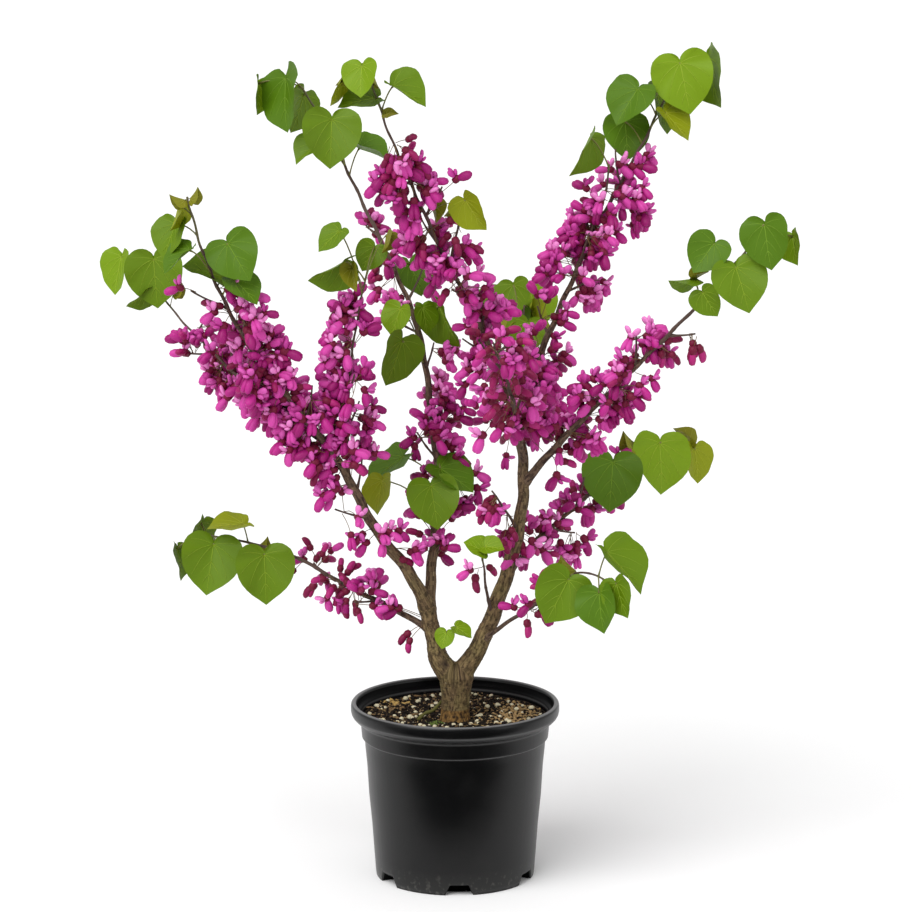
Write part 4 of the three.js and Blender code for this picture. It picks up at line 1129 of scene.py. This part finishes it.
potLook = dict(
    plain=(6, 6, 7), roughness=0.3, grain=(700, 0.2, 0.0002), gloss=0.34, dullGloss=0.04,
    dust=(24.0, (1, 1, 1), 4.0), scuffs=(1.0, (190, 190, 150), 6.0),  # scale, stretch and detail
    # where the second colour starts and where it is full, and the two colours
    dusty=(0.45, 0.75, (5, 5, 6), (13, 13, 13)), scuffed=(0.56, 0.74, (26, 26, 25), (76, 75, 71)),
    scuffFrom=(0.026, 0.004), dustRoughness=(0.28, 0.42), shade=((2, 2, 2), 0.35),
    # height, half width and grey of each painted highlight line along the lip and the collar
    paintedEdgeHighlights=[(0.1563, 0.0009, 96), (0.1735, 0.0014, 40), (0.1822, 0.0018, 66),
               (0.1954, 0.0012, 110)],
)


# A round surface turned from radii and heights by row and column, with both ends on the axis.
def turned(radii, heights, angles, low, high):
    points = np.stack([radii * np.cos(angles), radii * np.sin(angles),
                       heights + 0 * angles], -1).reshape(-1, 3)
    rows, columns = radii.shape
    k, count = np.arange(columns), rows * columns
    beside, last = (k + 1) % columns, (rows - 1) * columns
    ends = np.concatenate([np.stack([beside, k, np.full(columns, count)], -1),
                           np.stack([last + k, last + beside, np.full(columns, count + 1)], -1)])
    squares = gridFaces(rows, columns, True)[:, ::-1]
    return np.vstack([points, [0, 0, low], [0, 0, high]]), [squares, ends]


# The pot's columns, in degrees: evenly spaced, with others at the arches' corners in place of any
# that stand too close.
def potColumns():
    marks = np.array([pot["notchTop"] - pot["notchRound"], pot["notchTop"], pot["notchFoot"],
                      pot["notchFoot"] + pot["notchEdge"]])
    corners = np.degrees(np.concatenate([-marks[::-1], marks]) / pot["footRadius"])
    middles = pot["firstNotch"] + np.arange(pot["notches"])[:, None] * 360 / pot["notches"]
    corners = (middles + corners).ravel() % 360
    even = np.linspace(0, 360, pot["columns"], endpoint=False)
    apart = np.abs((even[:, None] - corners + 180) % 360 - 180).min(1)
    return np.sort(np.concatenate([even[apart > pot["leastGap"]], corners]))


# The pot's foot is cut by arches: each column of the wall ends at the arch height there, goes in
# to the arch's back, and comes down to the flat base.
def makePot(plastic, innerShade, shade):
    degrees = potColumns()
    step = 360 / pot["notches"]
    offset = (degrees - pot["firstNotch"] + step / 2) % step - step / 2
    arc = np.abs(np.radians(offset)) * pot["footRadius"]
    arch = np.interp(arc, [pot["notchTop"] - pot["notchRound"], pot["notchTop"], pot["notchFoot"]],
                     [pot["notchHeight"], pot["notchHeight"] - pot["notchDrop"], 0])
    radii, heights = np.array(pot["outer"], float).T
    wall, above = slice(pot["wallPoints"]), slice(pot["skipped"], None)
    lower = np.linspace(0, 1, pot["footRows"])[:, None] * (pot["footTop"] - arch) + arch
    lower = np.concatenate([lower, [0 * arch + pot["footTop"] + pot["footGap"]]])
    back = np.array([pot["notchDepth"], pot["notchDepth"], pot["archIn"]])[:, None] + 0 * arch
    rows = np.concatenate([back, np.interp(lower, heights[wall], radii[wall]),
                           radii[above, None] + 0 * arch])
    levels = np.concatenate([[0 * arch, arch, arch], lower, heights[above, None] + 0 * arch])
    radius, height = (rows[1:] + rows[:-1]) / 2, (levels[1:] + levels[:-1]) / 2
    # faces in the arches take the painted shade, and faces on the inner wall take the dull copy that
    # stands in for shade
    inArch = (radius < pot["archIn"]) & (height < pot["archTop"])
    onInnerShade = (radius < pot["wallIn"]) & (height > pot["wallFrom"])
    slots = np.concatenate([np.where(inArch, 2, np.where(onInnerShade, 1, 0)).ravel(),
                            np.repeat([2, 0], len(arch))])
    stand(makePiece("potShell", turned(rows, levels, np.radians(degrees), 0, pot["floor"]),
                    [plastic, innerShade, shade], slots), ["pot"])
    print("pot done")


# Black plastic: satin, a little greyer and rougher where dust lies, with painted highlight lines of
# pale grey along the edges of the lip and the collar, and scuffed grey at the foot.
def makePotMaterial(name, gloss):
    material = makeMaterial(name, potLook["plain"], potLook["roughness"], potLook["grain"], gloss)
    tree = material.node_tree
    shader = tree.nodes["Principled BSDF"]
    where = addNode(tree, "TexCoord", {}).outputs["Object"]
    height = addNode(tree, "SeparateXYZ", {"Vector": where}).outputs["Z"]
    dust, scuffs = (noised(tree, where, *potLook[name]) for name in ("dust", "scuffs"))
    colour = toned(tree, dust, *potLook["dusty"])
    # each band is a painted highlight: pale grey along an edge at that height
    for middle, width, grey in potLook["paintedEdgeHighlights"]:
        above = ranged(tree, height, middle - width, middle)
        below = ranged(tree, height, middle + width, middle)
        line = addNode(tree, "Math", {0: above, 1: below}, operation="MULTIPLY").outputs[0]
        colour = mixed(tree, line, colour, (grey, grey, grey))
    pale = toned(tree, scuffs, *potLook["scuffed"])
    colour = toned(tree, height, *potLook["scuffFrom"], colour, pale)
    put(tree, shader.inputs["Base Color"], colour)
    least, most = potLook["dustRoughness"]
    rough = addNode(tree, "MapRange", {"Value": dust, "To Min": least, "To Max": most}).outputs[0]
    put(tree, shader.inputs["Roughness"], rough)
    return material


# the second material is the plastic made dull to stand in for shade on the inner wall, and the third
# is the arches' painted shade, near black and dull
makePot(makePotMaterial("potPlastic", potLook["gloss"]),
        makePotMaterial("potInnerShade", potLook["dullGloss"]),
        makeMaterial("archShade", *potLook["shade"], potLook["grain"], potLook["dullGloss"]))


soil = dict(
    edge=101.6, middle=174.0, edgeHeight=178.6, bottom=158.0, skirt=3, dish=1.5,
    columns=150, rings=52, ringPower=0.8, leastRing=1.0,
    rough=2.4, lumps=((14, 1.2, 21), (4.5, 0.9, 22)),  # size, height over rough, and seed
    # the lumps are lower at the trunk: from where, over what length, and the least share of them;
    # and at the wall: over what length, and the share left there
    trunkFade=(17, 8, 0.15), wallFade=(5, 0.35),
    plain=(40, 30, 22), roughness=0.95, grain=(600, 1.0, 0.0015), gloss=0.2,
    crumb=(260.0, (1, 1, 1), 5.0), crumbly=(0.4, 0.62, (14, 10, 7), (66, 50, 34)),
)
# Each kind of litter: stations and sides of its lump, how many, smallest and largest size, shape,
# colour, and for a patch its middle and spread.
litter = dict(
    perlite=(4, 7, 150, (2.4, 6.6), (1, 0.85, 0.75), (202, 194, 164), None),
    grit=(3, 5, 1100, (1.4, 3.6), (1, 0.8, 0.6), (134, 112, 80), None),
    chips=(3, 5, 170, (4, 10), (1, 0.42, 0.22), (116, 92, 62), None),
    crumbs=(3, 5, 2600, (1.6, 4.8), (1, 0.8, 0.7), (25, 18, 12), None),
    paleCrumbs=(3, 5, 420, (1.8, 5.0), (1, 0.8, 0.6), (150, 124, 84), (66, 16, 22)),
    moss=(3, 5, 130, (1.6, 3.6), (1, 0.9, 0.8), (84, 100, 44), (-21, -19, 4)),
    straw=(4, 5, 20, (14, 28), (1, 0.08, 0.07), (138, 116, 78), None),
    dryLeaf=(3, 6, 46, (6, 13), (1, 0.5, 0.12), (172, 142, 84), (-70, 62, 8)),
)
litterRule = dict(
    look=(0.9, (1500, 0.7, 0.0004), 0.2), smooth=("moss", "perlite"), seed=41, lumpSeed=31,
    inside=3, wallGap=2, trunkGap=18.5, tilt=0.25, raised=(0.0, 0.4),  # raised in thicknesses
    waves=2.2, waveStart=9, thinnest=0.8, swelling=0.45,  # a lump's surface
)
stick = dict(
    start=(-41, -6, 175.5), end=(-15, 8, 192), radius=2.0, points=9, sides=8,
    bends=(0, 1.2, 1.6), bendWaves=7, knots=0.2, knotWaves=19,
    look=((86, 84, 42), 0.85, (900, 0.8, 0.0005), 0.2),
)


# A shallow dish, whose rise grows as a power of the radius, with lumps of two sizes that are low
# at the trunk and at the wall.
def soilHeight(x, y):
    r = np.hypot(x, y)
    place = np.stack([x, y, 0 * x], -1)
    rough = sum((lumps(place / size, seed) - 0.5) * height for size, height, seed in soil["lumps"])
    start, length, least = soil["trunkFade"]
    fade = np.clip((r - start) / length, least, 1)
    length, left = soil["wallFade"]
    fade = fade * np.clip((soil["edge"] - r) / length + left, 0, 1)
    dish = (soil["edgeHeight"] - soil["middle"]) * (r / soil["edge"]) ** soil["dish"]
    return soil["middle"] + dish + soil["rough"] * rough * fade


# The bed: rings that close in on the middle, with a skirt down inside the pot.
def makeSoil(material):
    angles = np.linspace(0, 2 * np.pi, soil["columns"], endpoint=False)
    r = np.linspace(1, 0, soil["rings"])[:, None] ** soil["ringPower"] * soil["edge"]
    r = np.maximum(r, soil["leastRing"]) + 0 * angles
    top = soilHeight(r * np.cos(angles), r * np.sin(angles))
    radii = np.concatenate([[r[0] - soil["skirt"]], r])
    heights = np.concatenate([[top[0] * 0 + soil["bottom"]], top])
    stand(makePiece("soilBed", turned(radii, heights, angles, soil["bottom"], soil["middle"]),
                    [material]), ["soil"])
    print("soil done")


def makeSoilMaterial():  # dark brown with lighter crumbs, by noise
    material = makeMaterial("soilCrumble", soil["plain"], soil["roughness"], soil["grain"],
                            soil["gloss"])
    tree = material.node_tree
    where = addNode(tree, "TexCoord", {}).outputs["Object"]
    colour = toned(tree, noised(tree, where, *soil["crumb"]), *soil["crumbly"])
    put(tree, tree.nodes["Principled BSDF"].inputs["Base Color"], colour)
    return material


# A lump: an oval with its surface points pushed in and out by hashed values.
def lump(stations, sides, seed):
    points, faces = petal((-0.5, 0, 0), (1, 0, 0), (0, 1, 0), 1, 0.5, 0.5, 0, 1, stations, sides)
    bumps = lumps(points * litterRule["waves"] + litterRule["waveStart"], seed)
    return points * (litterRule["thinnest"] + litterRule["swelling"] * bumps)[:, None], faces


# Places on the soil, dealt evenly over the disc or round a patch's middle: axes that lie nearly
# level, and origins.
def scatter(count, sizes, shape, patch, seed):
    dice = np.random.default_rng(seed)
    spread = np.sqrt(dice.uniform(0, 1, count)) * (soil["edge"] - litterRule["inside"])
    turn = dice.uniform(0, 2 * np.pi, count)
    x, y = spread * np.cos(turn), spread * np.sin(turn)
    if patch:
        x, y = (patch[k] + patch[2] * dice.normal(size=count) for k in (0, 1))
    r = np.hypot(x, y)
    clear = (r > litterRule["trunkGap"]) & (r < soil["edge"] - litterRule["wallGap"])
    x, y = x[clear], y[clear]
    count = len(x)
    size = dice.uniform(*sizes, count)
    ahead = unit(np.stack([dice.normal(size=count), dice.normal(size=count),
                           litterRule["tilt"] * dice.normal(size=count)], -1))
    across = unit(np.cross(upward, ahead))
    axes = (np.stack([ahead, across, np.cross(ahead, across)], 1)
            * (size[:, None] * np.array(shape, float))[..., None])
    height = soilHeight(x, y) + size * shape[2] * dice.uniform(*litterRule["raised"], count)
    return axes, np.stack([x, y, height], -1)


# All lumps of a kind as one piece, and one bent stick.
def makeLitter():
    for number, (name, kind) in enumerate(litter.items()):
        stations, sides, count, sizes, shape, colour, patch = kind
        axes, origins = scatter(count, sizes, shape, patch, litterRule["seed"] + number)
        material = makeMaterial(name + "Tone", colour, *litterRule["look"])
        pieces = copied(lump(stations, sides, litterRule["lumpSeed"] + number), axes, origins)
        stand(makePiece(name, pieces, [material], smooth=name in litterRule["smooth"]),
              ["soil"])
    share = np.linspace(0, 1, stick["points"])[:, None]
    line = (np.array(stick["start"]) * (1 - share) + np.array(stick["end"]) * share
            + np.array(stick["bends"]) * np.sin(share * stick["bendWaves"]))
    radii = stick["radius"] * (1 + stick["knots"] * np.sin(share[:, 0] * stick["knotWaves"]))
    stand(makePiece("stick", tubes(line, radii, stick["sides"]),
                    [makeMaterial("stickTone", *stick["look"])]), ["soil"])
    print("litter done")


makeSoil(makeSoilMaterial())
makeLitter()


# The flag is a black board that only gloss shows: it lies on the floor from near to far and stands
# up there. Lengths here are metres.
studio = dict(
    floor=((250, 250, 250), 0.9), floorSize=90, floorHeight=-0.0004, world=(255, 255, 255),
    worldStrength=0.62,
    flag=((2, 2, 2), 1.0, None, 0.0), wide=3.0, near=-0.205, far=-3.0, low=0.0005, high=2.2,
    # each lamp's place, power and spread in degrees, and the height of the point they face
    lamps=dict(keyLight=((-1.6, -2.2, 3.4), 2.3, 50), fillLight=((2.2, -2.4, 1.4), 0.5, 50)),
    aim=0.45,
)
cameraRule = dict(lens=142.46, sensor=36, place=(0.001, -3.860, 1.2132), aim=0.4710)


# The floor, the flag, an even white world and two sun lamps.
def makeStudio():
    bpy.ops.mesh.primitive_plane_add(size=studio["floorSize"],
                                     location=(0, 0, studio["floorHeight"]))
    floor = bpy.context.object
    floor.name = "floor"
    floor.data.materials.append(makeMaterial("floor", *studio["floor"]))
    profile = ((studio["near"], studio["low"]), (studio["far"], studio["low"]),
               (studio["far"], studio["high"]))
    corners = [(x, y, z) for y, z in profile for x in (-studio["wide"], studio["wide"])]
    board = bpy.data.meshes.new("flag")
    board.from_pydata(corners, [], [(0, 1, 3, 2), (2, 3, 5, 4)])
    board.materials.append(makeMaterial("flag", *studio["flag"]))
    flag = bpy.data.objects.new("flag", board)
    flag.visible_camera = flag.visible_diffuse = flag.visible_shadow = False
    bpy.context.scene.collection.objects.link(flag)
    world = bpy.data.worlds.new("studio")
    world.use_nodes = True
    back = world.node_tree.nodes["Background"]
    back.inputs["Color"].default_value = fromScreen(*studio["world"])
    back.inputs["Strength"].default_value = studio["worldStrength"]
    bpy.context.scene.world = world
    for name, (place, power, spread) in studio["lamps"].items():
        light = bpy.data.lights.new(name, "SUN")
        light.energy, light.angle = power, np.radians(spread)
        lamp = bpy.data.objects.new(name, light)
        lamp.location = place
        aim = np.array([0, 0, studio["aim"]]) - place
        lamp.rotation_euler = (np.arctan2(np.hypot(aim[0], aim[1]), -aim[2]), 0,
                               np.arctan2(aim[1], aim[0]) - np.pi / 2)
        bpy.context.scene.collection.objects.link(lamp)
    bpy.context.scene.view_settings.view_transform = "Standard"
    print("studio done")


def makeCamera():  # faces straight back and down to the aim's height at the trunk
    data = bpy.data.cameras.new("camera")
    data.lens, data.sensor_width = cameraRule["lens"], cameraRule["sensor"]
    camera = bpy.data.objects.new("camera", data)
    camera.location = cameraRule["place"]
    _, y, z = cameraRule["place"]
    camera.rotation_euler = (np.pi / 2 - np.arctan2(z - cameraRule["aim"], -y), 0, 0)
    bpy.context.scene.collection.objects.link(camera)
    bpy.context.scene.camera = camera
    print("camera done")


makeStudio()
makeCamera()
